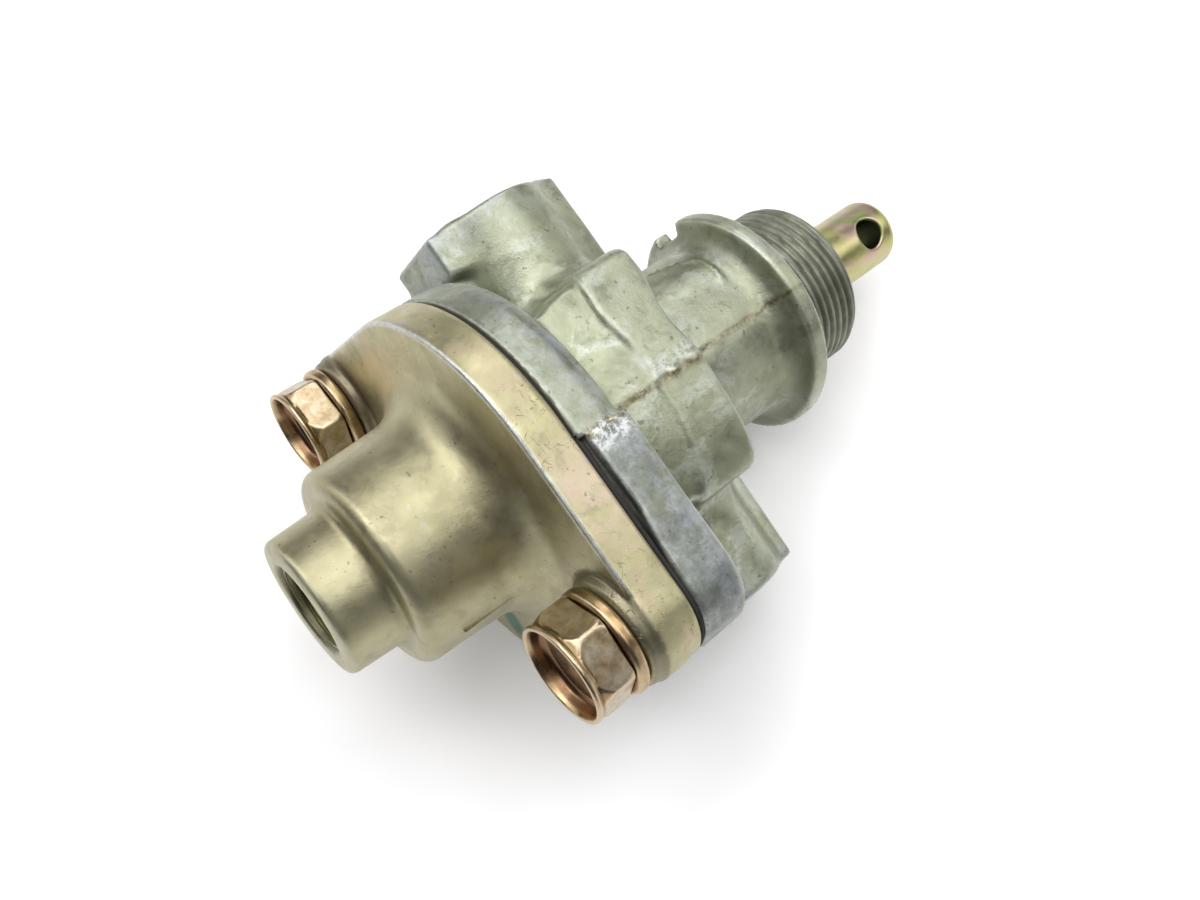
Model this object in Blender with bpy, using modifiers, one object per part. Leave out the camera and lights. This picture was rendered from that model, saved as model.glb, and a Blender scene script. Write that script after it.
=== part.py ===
"""Push-pull control valve: die-cast body with two side ports, a golden exhaust
cover held by two cap screws, and a spring-returned plunger whose stem stands out
of the threaded collar. Metres, +Z up, standing as the valve lies on a bench."""

import math

import bmesh
import bpy
from mathutils import Matrix, Vector

MM = 0.001
CLEARANCE = 0.3 * MM            # gap kept between pieces that seat on each other
OVERCUT = 1.0 * MM              # how far a cutter runs past the face it opens
CAST_STEPS = 36                 # facets round the castings
PART_STEPS = 24                 # facets round the small turned pieces
EDGE_STEPS = 2                  # facets on a rounded edge
FILLET_STEPS = 3                # facets on a fillet over FINE_EDGE
FINE_EDGE = 2.0 * MM
FLANGE_STEPS = 14               # facets on each long arc of the flange
LOBE_STEPS = 8
CHEST_CORNER_STEPS = 4
CHEST_CROWN_STEPS = 6
HOLE_STEPS = 20

LIE_ROLL = math.radians(69.5)   # which side of the flange lies on the bench

# Lengths along the valve's axis, from the exhaust port's face to the collar's end
STUB_LENGTH = 8.0 * MM
DOME_LENGTH = 17.1 * MM
COVER_FLANGE = 5.6 * MM
GASKET_THICKNESS = 0.6 * MM
BODY_FLANGE = 6.8 * MM
WAIST_LENGTH = 5.8 * MM
CHEST_LENGTH = 10.4 * MM
NECK_LENGTH = 20.4 * MM
COLLAR_FLANGE = 2.8 * MM
THREAD_LENGTH = 12.5 * MM

# Flanges with a lobe for each screw
FLANGE_RADIUS = 26.95 * MM
LOBE_RADIUS = 7.8 * MM
SCREW_CIRCLE = 30.1 * MM
SCREW_ANGLE = math.radians(-40.7)
COVER_EDGE = 0.7 * MM
BODY_EDGE = 1.5 * MM

# Exhaust cover
STUB_RADIUS = 9.8 * MM
STUB_ROOT_RADIUS = 10.1 * MM
DOME_RADIUS = 14.4 * MM
DOME_ROOT_RADIUS = 15.0 * MM
DOME_SHOULDER = 1.9 * MM
DOME_FILLET = 4.4 * MM
STUB_FILLET = 1.6 * MM
STUB_EDGE = 0.9 * MM
COVER_CONE_RADIUS = 22.5 * MM
COVER_CONE_RISE = 1.4 * MM
DOME_BORE_RADIUS = 11.2 * MM
COVER_RECESS_RADIUS = 15.0 * MM
COVER_RECESS_DEPTH = 4.0 * MM
DOME_FLOOR = 5.5 * MM
SEAT_RIDGE_HEIGHT = 1.5 * MM
EXHAUST_THROAT_RADIUS = 5.0 * MM
EXHAUST_SEAT_WIDTH = 2.0 * MM

# Threaded ports
PORT_RADIUS = 5.95 * MM
PORT_CHAMFER = 0.7 * MM
EXHAUST_PORT_DEPTH = 9.0 * MM
SIDE_PORT_DEPTH = 13.0 * MM
PASSAGE_RADIUS = 3.2 * MM

# Valve body outside
WAIST_RADIUS = 20.3 * MM
WAIST_FILLET = 5.0 * MM
CHEST_HALF_WIDTH = 19.8 * MM
CHEST_HALF_DEPTH = 21.9 * MM
CHEST_CORNER = 7.4 * MM
CHEST_CROWN = 1.5 * MM
CHEST_FRONT_EDGE = 4.4 * MM
CHEST_EDGE = 1.3 * MM
NECK_RADIUS = 14.0 * MM
NECK_FILLET = 3.6 * MM
COLLAR_FLANGE_RADIUS = 17.9 * MM
THREAD_RADIUS = 13.4 * MM
THREAD_PITCH = 1.41 * MM
THREAD_DEPTH = 0.8 * MM
THREAD_CHAMFER = 1.0 * MM
COLLAR_EDGE = 0.5 * MM
NOTCH_ANGLE = math.radians(183.5)
NOTCH_WIDTH = 6.2 * MM
NOTCH_DEPTH = 2.1 * MM

# Port bosses
BOSS_REACH = 32.4 * MM
BOSS_RADIUS = 9.9 * MM
BOSS_EDGE = 0.9 * MM
RIB_HALF_WIDTH = 11.3 * MM
RIB_HALF_DEPTH = 5.0 * MM
RIB_ROOT = 2.0 * MM                 # how deep the ribs reach into the neck
SUPPLY_BOSS_RISE = 19.1 * MM        # supply port's axis above the body's joint face
DELIVERY_BOSS_RISE = 16.2 * MM

# Valve body inside
CHAMBER_RADIUS = 16.0 * MM
CHAMBER_DEPTH = 14.7 * MM
SEAT_WEB = 2.8 * MM
INLET_HOLE_RADIUS = 5.8 * MM
INLET_SEAT_WIDTH = 1.8 * MM
SUPPLY_CHAMBER_RADIUS = 9.6 * MM
SUPPLY_CHAMBER_LENGTH = 8.6 * MM
GUIDE_RADIUS = 8.2 * MM
RING_GROOVE_DEPTH = 0.8 * MM
RING_GROOVE_LAND = 1.0 * MM

# Plunger and what it carries
PLUNGER_TRAVEL = 6.4 * MM
STEM_RADIUS = 5.6 * MM
STEM_STANDOUT = 20.4 * MM
STEM_END_ROUND = 2.0 * MM
PIN_HOLE_RADIUS = 2.4 * MM
PIN_HOLE_INSET = 5.7 * MM
PISTON_LENGTH = 11.5 * MM
SPRING_ROOM = 16.3 * MM
ROD_RADIUS = 4.0 * MM
SPINDLE_RADIUS = 2.5 * MM
SPINDLE_TAIL = 0.6 * MM
O_RING_SECTION = 1.7 * MM
O_RING_FROM_TOP = 4.5 * MM
INLET_DISC_RADIUS = 9.2 * MM
EXHAUST_DISC_RADIUS = 8.2 * MM
DISC_THICKNESS = 2.0 * MM
BACKING_THICKNESS = 1.2 * MM
SLEEVE_RADIUS = 4.4 * MM
NUT_ACROSS_FLATS = 8.0 * MM
NUT_HEIGHT = 3.2 * MM
NUT_WASHER_RADIUS = 4.4 * MM
NUT_WASHER_THICKNESS = 0.8 * MM

# Return spring and its seat
SPRING_MEAN_RADIUS = 6.5 * MM
SPRING_WIRE = 1.2 * MM
SPRING_TURNS = 5.0
SPRING_END_TURNS = 0.75
SPRING_END_PITCH = SPRING_WIRE + 0.2 * MM
SPRING_POINTS_PER_TURN = 14
SPRING_SEAT_RADIUS = 8.9 * MM
SPRING_SEAT_THICKNESS = 0.8 * MM

# Bush, wiper and retaining ring in the collar
BUSH_GAP = 1.0 * MM
WIPER_THICKNESS = 1.6 * MM
RETAINING_RING = 1.0 * MM
RETAINING_RING_WIDTH = 2.1 * MM
RETAINING_RING_GAP = 5.0 * MM

# Cap screws and their split washers
SCREW_RADIUS = 3.95 * MM
HEAD_ACROSS_FLATS = 12.7 * MM
HEAD_RADIUS = 7.2 * MM
HEAD_HEIGHT = 5.4 * MM
HEAD_RIM = 0.9 * MM
HEAD_TURN = {"upper": math.radians(19), "lower": math.radians(36)}
HEAD_DISH_RADIUS = 6.0 * MM
HEAD_DISH_FLOOR = 5.0 * MM
HEAD_DISH_DEPTH = 1.6 * MM
WASHER_RADIUS = 7.4 * MM
WASHER_THICKNESS = 1.8 * MM
WASHER_SLIT = 1.0 * MM
PAD_RADIUS = 7.6 * MM
PAD_HEIGHT = 1.6 * MM
HEAD_ROOM_RADIUS = 8.0 * MM
HEAD_ROOM_DEPTH = 0.3 * MM
SCREW_TIP_SETBACK = 0.5 * MM

# Stations along the axis, worked out from the lengths above
DOME_FACE_Z = STUB_LENGTH
COVER_FACE_Z = DOME_FACE_Z + DOME_LENGTH
COVER_BACK_Z = COVER_FACE_Z + COVER_FLANGE
GASKET_Z = COVER_BACK_Z + CLEARANCE
BODY_FACE_Z = GASKET_Z + GASKET_THICKNESS + CLEARANCE
FLANGE_REAR_Z = BODY_FACE_Z + BODY_FLANGE
CHEST_Z = FLANGE_REAR_Z + WAIST_LENGTH
CHEST_REAR_Z = CHEST_Z + CHEST_LENGTH
COLLAR_Z = CHEST_REAR_Z + NECK_LENGTH
COLLAR_FACE_Z = COLLAR_Z + COLLAR_FLANGE
THREAD_END_Z = COLLAR_FACE_Z + THREAD_LENGTH
SUPPLY_BOSS_Z = BODY_FACE_Z + SUPPLY_BOSS_RISE
DELIVERY_BOSS_Z = BODY_FACE_Z + DELIVERY_BOSS_RISE

CHAMBER_ROOF_Z = BODY_FACE_Z + CHAMBER_DEPTH
INLET_SEAT_Z = CHAMBER_ROOF_Z - SEAT_RIDGE_HEIGHT
WEB_TOP_Z = CHAMBER_ROOF_Z + SEAT_WEB
GUIDE_Z = WEB_TOP_Z + SUPPLY_CHAMBER_LENGTH
EXHAUST_SEAT_Z = DOME_FACE_Z + DOME_FLOOR + SEAT_RIDGE_HEIGHT

PISTON_Z = WEB_TOP_Z + SPRING_ROOM
PISTON_TOP_Z = PISTON_Z + PISTON_LENGTH
STEM_END_Z = THREAD_END_Z + STEM_STANDOUT
O_RING_Z = PISTON_TOP_Z - O_RING_FROM_TOP
PISTON_RADIUS = GUIDE_RADIUS - CLEARANCE
BUSH_Z = PISTON_TOP_Z + BUSH_GAP
GROOVE_TOP_Z = THREAD_END_Z - RING_GROOVE_LAND
GROOVE_Z = GROOVE_TOP_Z - RETAINING_RING - 2 * CLEARANCE
RETAINING_RING_Z = GROOVE_Z + CLEARANCE
WIPER_Z = RETAINING_RING_Z - CLEARANCE - WIPER_THICKNESS
BUSH_LENGTH = WIPER_Z - CLEARANCE - BUSH_Z

# The stack on the spindle, from the inlet disc down to the nut
INLET_DISC_Z = INLET_SEAT_Z - CLEARANCE - DISC_THICKNESS
INLET_BACKING_Z = INLET_DISC_Z - CLEARANCE - BACKING_THICKNESS
EXHAUST_DISC_Z = EXHAUST_SEAT_Z + CLEARANCE + PLUNGER_TRAVEL
EXHAUST_BACKING_Z = EXHAUST_DISC_Z + DISC_THICKNESS + CLEARANCE
SLEEVE_Z = EXHAUST_BACKING_Z + BACKING_THICKNESS + CLEARANCE
SLEEVE_LENGTH = INLET_BACKING_Z - CLEARANCE - SLEEVE_Z
NUT_WASHER_Z = EXHAUST_DISC_Z - CLEARANCE - NUT_WASHER_THICKNESS
NUT_Z = NUT_WASHER_Z - CLEARANCE - NUT_HEIGHT
SPINDLE_END_Z = NUT_Z - SPINDLE_TAIL
SPINDLE_BORE = SPINDLE_RADIUS + CLEARANCE

SPRING_SEAT_Z = WEB_TOP_Z + CLEARANCE
SPRING_Z = SPRING_SEAT_Z + SPRING_SEAT_THICKNESS + CLEARANCE
SPRING_LENGTH = PISTON_Z - CLEARANCE - SPRING_Z

WASHER_SEAT_Z = COVER_FACE_Z - PAD_HEIGHT
WASHER_Z = WASHER_SEAT_Z - CLEARANCE - WASHER_THICKNESS
HEAD_SEAT_Z = WASHER_Z - CLEARANCE
HEAD_Z = HEAD_SEAT_Z - HEAD_HEIGHT
SCREW_TIP_Z = FLANGE_REAR_Z - SCREW_TIP_SETBACK

SUPPLY_SIDE = -1
DELIVERY_SIDE = 1


def clear_scene():
    for obj in list(bpy.data.objects):
        bpy.data.objects.remove(obj, do_unlink=True)


def new_collection(name):
    collection = bpy.data.collections.new(name)
    bpy.context.scene.collection.children.link(collection)
    return collection


def metal(name, colour, roughness, metallic=1.0):
    material = bpy.data.materials.new(name)
    material.use_nodes = True
    shader = material.node_tree.nodes["Principled BSDF"]
    shader.inputs["Base Color"].default_value = (*colour, 1.0)
    shader.inputs["Metallic"].default_value = metallic
    shader.inputs["Roughness"].default_value = roughness
    return material


def place(obj, location=(0, 0, 0), rotation=(0, 0, 0)):
    """Put a piece in the valve's own frame, whose Z is the plunger's axis."""
    obj.parent = VALVE_FRAME
    obj.location = location
    obj.rotation_euler = rotation
    return obj


def as_piece(obj, material):
    PIECES.objects.link(obj)
    obj.data.materials.append(material)
    return obj


def as_cutter(obj):
    CUTTERS.objects.link(obj)
    obj.hide_render = True
    obj.display_type = "WIRE"
    return obj


def combine(obj, other, operation):
    modifier = obj.modifiers.new(operation.lower() + "_" + other.name, "BOOLEAN")
    modifier.operation = operation
    modifier.solver = "EXACT"
    modifier.object = other


def rounded(corners):
    """Turn (radius, height) corners, with an optional corner radius, into a profile."""
    points = []
    count = len(corners)
    for index, corner in enumerate(corners):
        here = Vector(corner[:2])
        radius = corner[2] if len(corner) > 2 else 0.0
        if radius == 0.0 or index in (0, count - 1):
            points.append(here)
            continue
        before = (Vector(corners[index - 1][:2]) - here).normalized()
        after = (Vector(corners[index + 1][:2]) - here).normalized()
        half_angle = before.angle(after) / 2
        setback = radius / math.tan(half_angle)
        centre = here + (before + after).normalized() * radius / math.sin(half_angle)
        start = here + before * setback - centre
        finish = here + after * setback - centre
        sweep = start.angle_signed(finish)
        steps = FILLET_STEPS if radius > FINE_EDGE else EDGE_STEPS
        for step in range(steps + 1):
            turn = -sweep * step / steps
            cosine, sine = math.cos(turn), math.sin(turn)
            spoke = Vector((start.x * cosine - start.y * sine,
                            start.x * sine + start.y * cosine))
            points.append(centre + spoke)
    return points


def turned(name, corners, steps=PART_STEPS, closed=False):
    """Revolve a profile about Z. It runs down its outer side, from top to bottom."""
    points = rounded(corners)
    edges = [(i, i + 1) for i in range(len(points) - 1)]
    if closed:
        edges.append((len(points) - 1, 0))
    mesh = bpy.data.meshes.new(name)
    mesh.from_pydata([(p.x, 0.0, p.y) for p in points], edges, [])
    obj = bpy.data.objects.new(name, mesh)
    screw = obj.modifiers.new("revolve", "SCREW")
    screw.axis = "Z"
    screw.steps = steps
    screw.render_steps = steps
    screw.use_merge_vertices = True
    screw.merge_threshold = 1e-6
    screw.use_smooth_shade = True
    return obj


def ring(name, inner, outer, height, edge=0.0, steps=PART_STEPS):
    """A flat ring standing on z = 0, with its outer edges rounded."""
    corners = [(inner, height), (outer, height, edge), (outer, 0.0, edge), (inner, 0.0)]
    return turned(name, corners, steps, closed=True)


def round_bar(name, radius, length, steps=PART_STEPS):
    """A plain cylinder from z = 0 up to its length."""
    mesh = bpy.data.meshes.new(name)
    shape = bmesh.new()
    bmesh.ops.create_cone(shape, cap_ends=True, segments=steps,
                          radius1=radius, radius2=radius, depth=length)
    bmesh.ops.translate(shape, verts=shape.verts, vec=(0, 0, length / 2))
    shape.to_mesh(mesh)
    shape.free()
    return bpy.data.objects.new(name, mesh)


def hex_bar(name, across_flats, length):
    return round_bar(name, across_flats / 2 / math.cos(math.pi / 6), length, steps=6)


def block(name, low, high, edge=0.0):
    """A box between two corners, with its edges bevelled where edge isn't 0."""
    low, high = Vector(low), Vector(high)
    mesh = bpy.data.meshes.new(name)
    shape = bmesh.new()
    bmesh.ops.create_cube(shape, size=1.0)
    bmesh.ops.scale(shape, verts=shape.verts, vec=high - low)
    bmesh.ops.translate(shape, verts=shape.verts, vec=(low + high) / 2)
    shape.to_mesh(mesh)
    shape.free()
    obj = bpy.data.objects.new(name, mesh)
    if edge > 0.0:
        bevel = obj.modifiers.new("edges", "BEVEL")
        bevel.width = edge
        bevel.segments = 2
    return obj


def arc(centre, radius, start, finish, steps):
    for step in range(steps + 1):
        angle = start + (finish - start) * step / steps
        yield (centre[0] + radius * math.cos(angle), centre[1] + radius * math.sin(angle))


def lobed_outline(inset=0.0):
    """A circle with a screw lobe on two sides, joined by straight tangents."""
    circle = FLANGE_RADIUS - inset
    lobe = LOBE_RADIUS - inset
    spread = math.acos((circle - lobe) / SCREW_CIRCLE)
    points = []
    for middle in (SCREW_ANGLE, SCREW_ANGLE + math.pi):
        centre = (SCREW_CIRCLE * math.cos(middle), SCREW_CIRCLE * math.sin(middle))
        points += arc(centre, lobe, middle - spread, middle + spread, LOBE_STEPS)
        points += arc((0, 0), circle, middle + spread, middle + math.pi - spread,
                      FLANGE_STEPS)
    return points


def chest_outline(inset=0.0):
    """A rounded rectangle whose two long faces are slightly crowned."""
    corner_x = CHEST_HALF_WIDTH - CHEST_CORNER
    corner_y = CHEST_HALF_DEPTH - CHEST_CROWN - CHEST_CORNER
    points = []
    for quarter, (side_x, side_y) in enumerate(((1, 1), (-1, 1), (-1, -1), (1, -1))):
        start = quarter * math.pi / 2
        centre = (side_x * corner_x, side_y * corner_y)
        points += arc(centre, CHEST_CORNER - inset, start, start + math.pi / 2,
                      CHEST_CORNER_STEPS)
        if quarter % 2 == 0:
            for step in range(1, CHEST_CROWN_STEPS):
                across = 1 - 2 * step / CHEST_CROWN_STEPS
                depth = CHEST_HALF_DEPTH - inset - CHEST_CROWN * across ** 2
                points.append((side_x * corner_x * across, side_y * depth))
    return points


def circle_outline(radius, centre=(0, 0), steps=PART_STEPS):
    return list(arc(centre, radius, 0, 2 * math.pi, steps))[:-1]


def edge_sections(thickness, low_edge, high_edge):
    """Heights and insets of the sections of a slab whose two rims are rounded."""
    low = []
    high = []
    for sections, edge in ((low, low_edge), (high, high_edge)):
        steps = FILLET_STEPS if edge > FINE_EDGE else EDGE_STEPS
        for step in range(steps + 1):
            angle = math.pi / 2 * step / steps
            sections.append((edge * (1 - math.cos(angle)), edge * (1 - math.sin(angle))))
    high = [(thickness - depth, inset) for depth, inset in high]
    low = low if low_edge > 0 else low[-1:]
    high = high if high_edge > 0 else high[-1:]
    return low + high[::-1]


def slab(name, outline, thickness, low_edge=0.0, high_edge=0.0):
    """Loft an outline from z = 0, drawn in where the rims are rounded."""
    shape = bmesh.new()
    rows = []
    for height, inset in edge_sections(thickness, low_edge, high_edge):
        rows.append([shape.verts.new((x, y, height)) for x, y in outline(inset)])
    for below, above in zip(rows, rows[1:]):
        for index in range(len(below)):
            following = (index + 1) % len(below)
            shape.faces.new((below[index], below[following],
                             above[following], above[index]))
    shape.faces.new(rows[0][::-1])
    shape.faces.new(rows[-1])
    mesh = bpy.data.meshes.new(name)
    shape.to_mesh(mesh)
    shape.free()
    return bpy.data.objects.new(name, mesh)


def sheet(name, outlines, thickness):
    """A flat outline with its holes, extruded from z = 0."""
    curve = bpy.data.curves.new(name, "CURVE")
    curve.dimensions = "2D"
    curve.fill_mode = "BOTH"
    curve.extrude = thickness / 2
    for outline in outlines:
        spline = curve.splines.new("POLY")
        spline.points.add(len(outline) - 1)
        for point, (x, y) in zip(spline.points, outline):
            point.co = (x, y, thickness / 2, 1.0)
        spline.use_cyclic_u = True
    return bpy.data.objects.new(name, curve)


def smooth(obj):
    obj.data.shade_smooth()
    obj.data.set_sharp_from_angle(angle=math.radians(35))
    return obj


def screw_positions():
    """The upper screw is the far one as the valve lies, the lower one the near."""
    x = SCREW_CIRCLE * math.cos(SCREW_ANGLE)
    y = SCREW_CIRCLE * math.sin(SCREW_ANGLE)
    return {"upper": (-x, -y), "lower": (x, y)}


def side_port_cutter(name, side, boss_z):
    """The port's bore with its chamfered mouth, along X from outside to its floor."""
    corners = [
        (0, BOSS_REACH + OVERCUT),
        (PORT_RADIUS + PORT_CHAMFER, BOSS_REACH + OVERCUT),
        (PORT_RADIUS + PORT_CHAMFER, BOSS_REACH),
        (PORT_RADIUS, BOSS_REACH - PORT_CHAMFER),
        (PORT_RADIUS, BOSS_REACH - SIDE_PORT_DEPTH),
        (0, BOSS_REACH - SIDE_PORT_DEPTH),
    ]
    cutter = as_cutter(turned(name, corners))
    return place(cutter, (0, 0, boss_z), (0, side * math.pi / 2, 0))


def passage_cutter(name, side, height, reach):
    """The narrow passage from a port's floor into its chamber."""
    outer = BOSS_REACH - SIDE_PORT_DEPTH + OVERCUT
    bar = as_cutter(round_bar(name, PASSAGE_RADIUS, outer - reach, steps=20))
    return place(bar, (side * reach, 0, height), (0, side * math.pi / 2, 0))


def collar_thread():
    """The threaded end's profile: a ring for each turn, then a plain shoulder."""
    points = [(0, THREAD_END_Z), (THREAD_RADIUS - THREAD_CHAMFER, THREAD_END_Z)]
    crest = THREAD_END_Z - THREAD_CHAMFER
    while crest > COLLAR_FACE_Z + THREAD_PITCH:
        points.append((THREAD_RADIUS, crest))
        points.append((THREAD_RADIUS - THREAD_DEPTH, crest - THREAD_PITCH / 2))
        crest -= THREAD_PITCH
    return points + [(THREAD_RADIUS, crest), (THREAD_RADIUS, COLLAR_FACE_Z)]


def make_valve_body(material):
    core_low = BODY_FACE_Z + BODY_FLANGE / 4
    chest_middle = (CHEST_Z + CHEST_REAR_Z) / 2
    body = turned("valve_body", [
        *collar_thread(),
        (COLLAR_FLANGE_RADIUS, COLLAR_FACE_Z, COLLAR_EDGE),
        (COLLAR_FLANGE_RADIUS, COLLAR_Z, COLLAR_EDGE),
        (NECK_RADIUS, COLLAR_Z, NECK_FILLET),
        (NECK_RADIUS, chest_middle),
        (WAIST_RADIUS, chest_middle),
        (WAIST_RADIUS, FLANGE_REAR_Z, WAIST_FILLET),
        (FLANGE_RADIUS - BODY_EDGE, FLANGE_REAR_Z - 0.4 * MM),
        (FLANGE_RADIUS - BODY_EDGE - 1.0 * MM, core_low),
        (0, core_low),
    ], CAST_STEPS)
    as_piece(place(body), material)
    smooth(body)

    flange = slab("body_flange", lobed_outline, BODY_FLANGE, high_edge=BODY_EDGE)
    combine(body, as_cutter(place(flange, (0, 0, BODY_FACE_Z))), "UNION")
    chest = slab("body_chest", chest_outline, CHEST_LENGTH, CHEST_FRONT_EDGE,
                 CHEST_EDGE)
    combine(body, as_cutter(place(chest, (0, 0, CHEST_Z))), "UNION")

    for name, side, boss_z in (("supply", SUPPLY_SIDE, SUPPLY_BOSS_Z),
                               ("delivery", DELIVERY_SIDE, DELIVERY_BOSS_Z)):
        boss = turned(name + "_boss", [
            (0, BOSS_REACH),
            (BOSS_RADIUS, BOSS_REACH, BOSS_EDGE),
            (BOSS_RADIUS, SUPPLY_CHAMBER_RADIUS),
            (0, SUPPLY_CHAMBER_RADIUS),
        ], CAST_STEPS)
        place(boss, (0, 0, boss_z), (0, side * math.pi / 2, 0))
        combine(body, as_cutter(boss), "UNION")
        rib_low = (NECK_RADIUS - RIB_ROOT, -RIB_HALF_DEPTH, -RIB_HALF_WIDTH)
        rib_high = (BOSS_REACH, RIB_HALF_DEPTH, RIB_HALF_WIDTH)
        rib = block(name + "_rib", rib_low, rib_high, BOSS_EDGE)
        turn = 0.0 if side == DELIVERY_SIDE else math.pi
        combine(body, as_cutter(place(rib, (0, 0, boss_z), (0, 0, turn))), "UNION")

    inside = turned("body_bores", [
        (0, THREAD_END_Z + OVERCUT),
        (GUIDE_RADIUS, THREAD_END_Z + OVERCUT),
        (GUIDE_RADIUS, GROOVE_TOP_Z),
        (GUIDE_RADIUS + RING_GROOVE_DEPTH, GROOVE_TOP_Z),
        (GUIDE_RADIUS + RING_GROOVE_DEPTH, GROOVE_Z),
        (GUIDE_RADIUS, GROOVE_Z),
        (GUIDE_RADIUS, GUIDE_Z),
        (SUPPLY_CHAMBER_RADIUS, GUIDE_Z),
        (SUPPLY_CHAMBER_RADIUS, WEB_TOP_Z),
        (INLET_HOLE_RADIUS, WEB_TOP_Z),
        (INLET_HOLE_RADIUS, INLET_SEAT_Z),
        (INLET_HOLE_RADIUS + INLET_SEAT_WIDTH, INLET_SEAT_Z),
        (INLET_HOLE_RADIUS + INLET_SEAT_WIDTH, CHAMBER_ROOF_Z),
        (CHAMBER_RADIUS, CHAMBER_ROOF_Z),
        (CHAMBER_RADIUS, BODY_FACE_Z - OVERCUT),
        (0, BODY_FACE_Z - OVERCUT),
    ], CAST_STEPS)
    combine(body, as_cutter(place(inside)), "DIFFERENCE")

    supply_port = side_port_cutter("supply_port", SUPPLY_SIDE, SUPPLY_BOSS_Z)
    combine(body, supply_port, "DIFFERENCE")
    delivery_port = side_port_cutter("delivery_port", DELIVERY_SIDE, DELIVERY_BOSS_Z)
    combine(body, delivery_port, "DIFFERENCE")
    supply_height = WEB_TOP_Z + PASSAGE_RADIUS
    supply_passage = passage_cutter("supply_passage", SUPPLY_SIDE, supply_height,
                                    SUPPLY_CHAMBER_RADIUS - OVERCUT)
    combine(body, supply_passage, "DIFFERENCE")
    delivery_height = DELIVERY_BOSS_Z - PORT_RADIUS + PASSAGE_RADIUS
    delivery_passage = passage_cutter("delivery_passage", DELIVERY_SIDE, delivery_height,
                                      CHAMBER_RADIUS - OVERCUT)
    combine(body, delivery_passage, "DIFFERENCE")

    for name, (x, y) in screw_positions().items():
        hole = round_bar("body_hole_" + name, SCREW_RADIUS + CLEARANCE,
                         BODY_FLANGE + 2 * OVERCUT, steps=HOLE_STEPS)
        place(hole, (x, y, BODY_FACE_Z - OVERCUT))
        combine(body, as_cutter(hole), "DIFFERENCE")

    notch = block("collar_notch",
                  (COLLAR_FLANGE_RADIUS - NOTCH_DEPTH, -NOTCH_WIDTH / 2, COLLAR_Z - OVERCUT),
                  (COLLAR_FLANGE_RADIUS + OVERCUT, NOTCH_WIDTH / 2, COLLAR_FACE_Z + OVERCUT))
    combine(body, as_cutter(place(notch, rotation=(0, 0, NOTCH_ANGLE))), "DIFFERENCE")
    return body


def make_exhaust_cover(material):
    cone_low = COVER_FACE_Z - COVER_CONE_RISE
    cover = turned("exhaust_cover", [
        (0, COVER_BACK_Z - COVER_FLANGE / 2),
        (COVER_CONE_RADIUS, COVER_BACK_Z - COVER_FLANGE / 2),
        (COVER_CONE_RADIUS, COVER_FACE_Z + 0.2 * MM),
        (DOME_ROOT_RADIUS, cone_low, DOME_FILLET),
        (DOME_RADIUS, DOME_FACE_Z, DOME_SHOULDER),
        (STUB_ROOT_RADIUS, DOME_FACE_Z, STUB_FILLET),
        (STUB_RADIUS, 0, STUB_EDGE),
        (0, 0),
    ], CAST_STEPS)
    as_piece(place(cover), material)
    smooth(cover)
    flange = slab("cover_flange", lobed_outline, COVER_FLANGE, low_edge=COVER_EDGE)
    combine(cover, as_cutter(place(flange, (0, 0, COVER_FACE_Z))), "UNION")

    floor = DOME_FACE_Z + DOME_FLOOR
    recess = COVER_BACK_Z - COVER_RECESS_DEPTH
    inside = turned("cover_bores", [
        (0, COVER_BACK_Z + OVERCUT),
        (COVER_RECESS_RADIUS, COVER_BACK_Z + OVERCUT),
        (COVER_RECESS_RADIUS, recess),
        (DOME_BORE_RADIUS, recess - (COVER_RECESS_RADIUS - DOME_BORE_RADIUS)),
        (DOME_BORE_RADIUS, floor, 1.5 * MM),
        (EXHAUST_THROAT_RADIUS + EXHAUST_SEAT_WIDTH, floor),
        (EXHAUST_THROAT_RADIUS + EXHAUST_SEAT_WIDTH, EXHAUST_SEAT_Z),
        (EXHAUST_THROAT_RADIUS, EXHAUST_SEAT_Z),
        (EXHAUST_THROAT_RADIUS, EXHAUST_PORT_DEPTH),
        (PORT_RADIUS, EXHAUST_PORT_DEPTH - (PORT_RADIUS - EXHAUST_THROAT_RADIUS)),
        (PORT_RADIUS, PORT_CHAMFER),
        (PORT_RADIUS + PORT_CHAMFER, 0),
        (PORT_RADIUS + PORT_CHAMFER, -OVERCUT),
        (0, -OVERCUT),
    ], CAST_STEPS)
    combine(cover, as_cutter(place(inside)), "DIFFERENCE")

    for name, (x, y) in screw_positions().items():
        room = round_bar("head_room_" + name, HEAD_ROOM_RADIUS, COVER_FACE_Z)
        place(room, (x, y, HEAD_ROOM_DEPTH))
        combine(cover, as_cutter(room), "DIFFERENCE")
        pad = round_bar("screw_pad_" + name, PAD_RADIUS, PAD_HEIGHT + COVER_FLANGE / 2)
        place(pad, (x, y, WASHER_SEAT_Z))
        combine(cover, as_cutter(pad), "UNION")
        hole = round_bar("cover_hole_" + name, SCREW_RADIUS + CLEARANCE,
                         COVER_BACK_Z - WASHER_SEAT_Z + 2 * OVERCUT, steps=HOLE_STEPS)
        place(hole, (x, y, WASHER_SEAT_Z - OVERCUT))
        combine(cover, as_cutter(hole), "DIFFERENCE")
    return cover


def make_cover_gasket(material):
    outlines = [lobed_outline(CLEARANCE), circle_outline(CHAMBER_RADIUS + CLEARANCE)]
    for centre in screw_positions().values():
        outlines.append(circle_outline(SCREW_RADIUS + CLEARANCE, centre, HOLE_STEPS))
    gasket = sheet("cover_gasket", outlines, GASKET_THICKNESS)
    return as_piece(place(gasket, (0, 0, GASKET_Z)), material)


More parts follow.
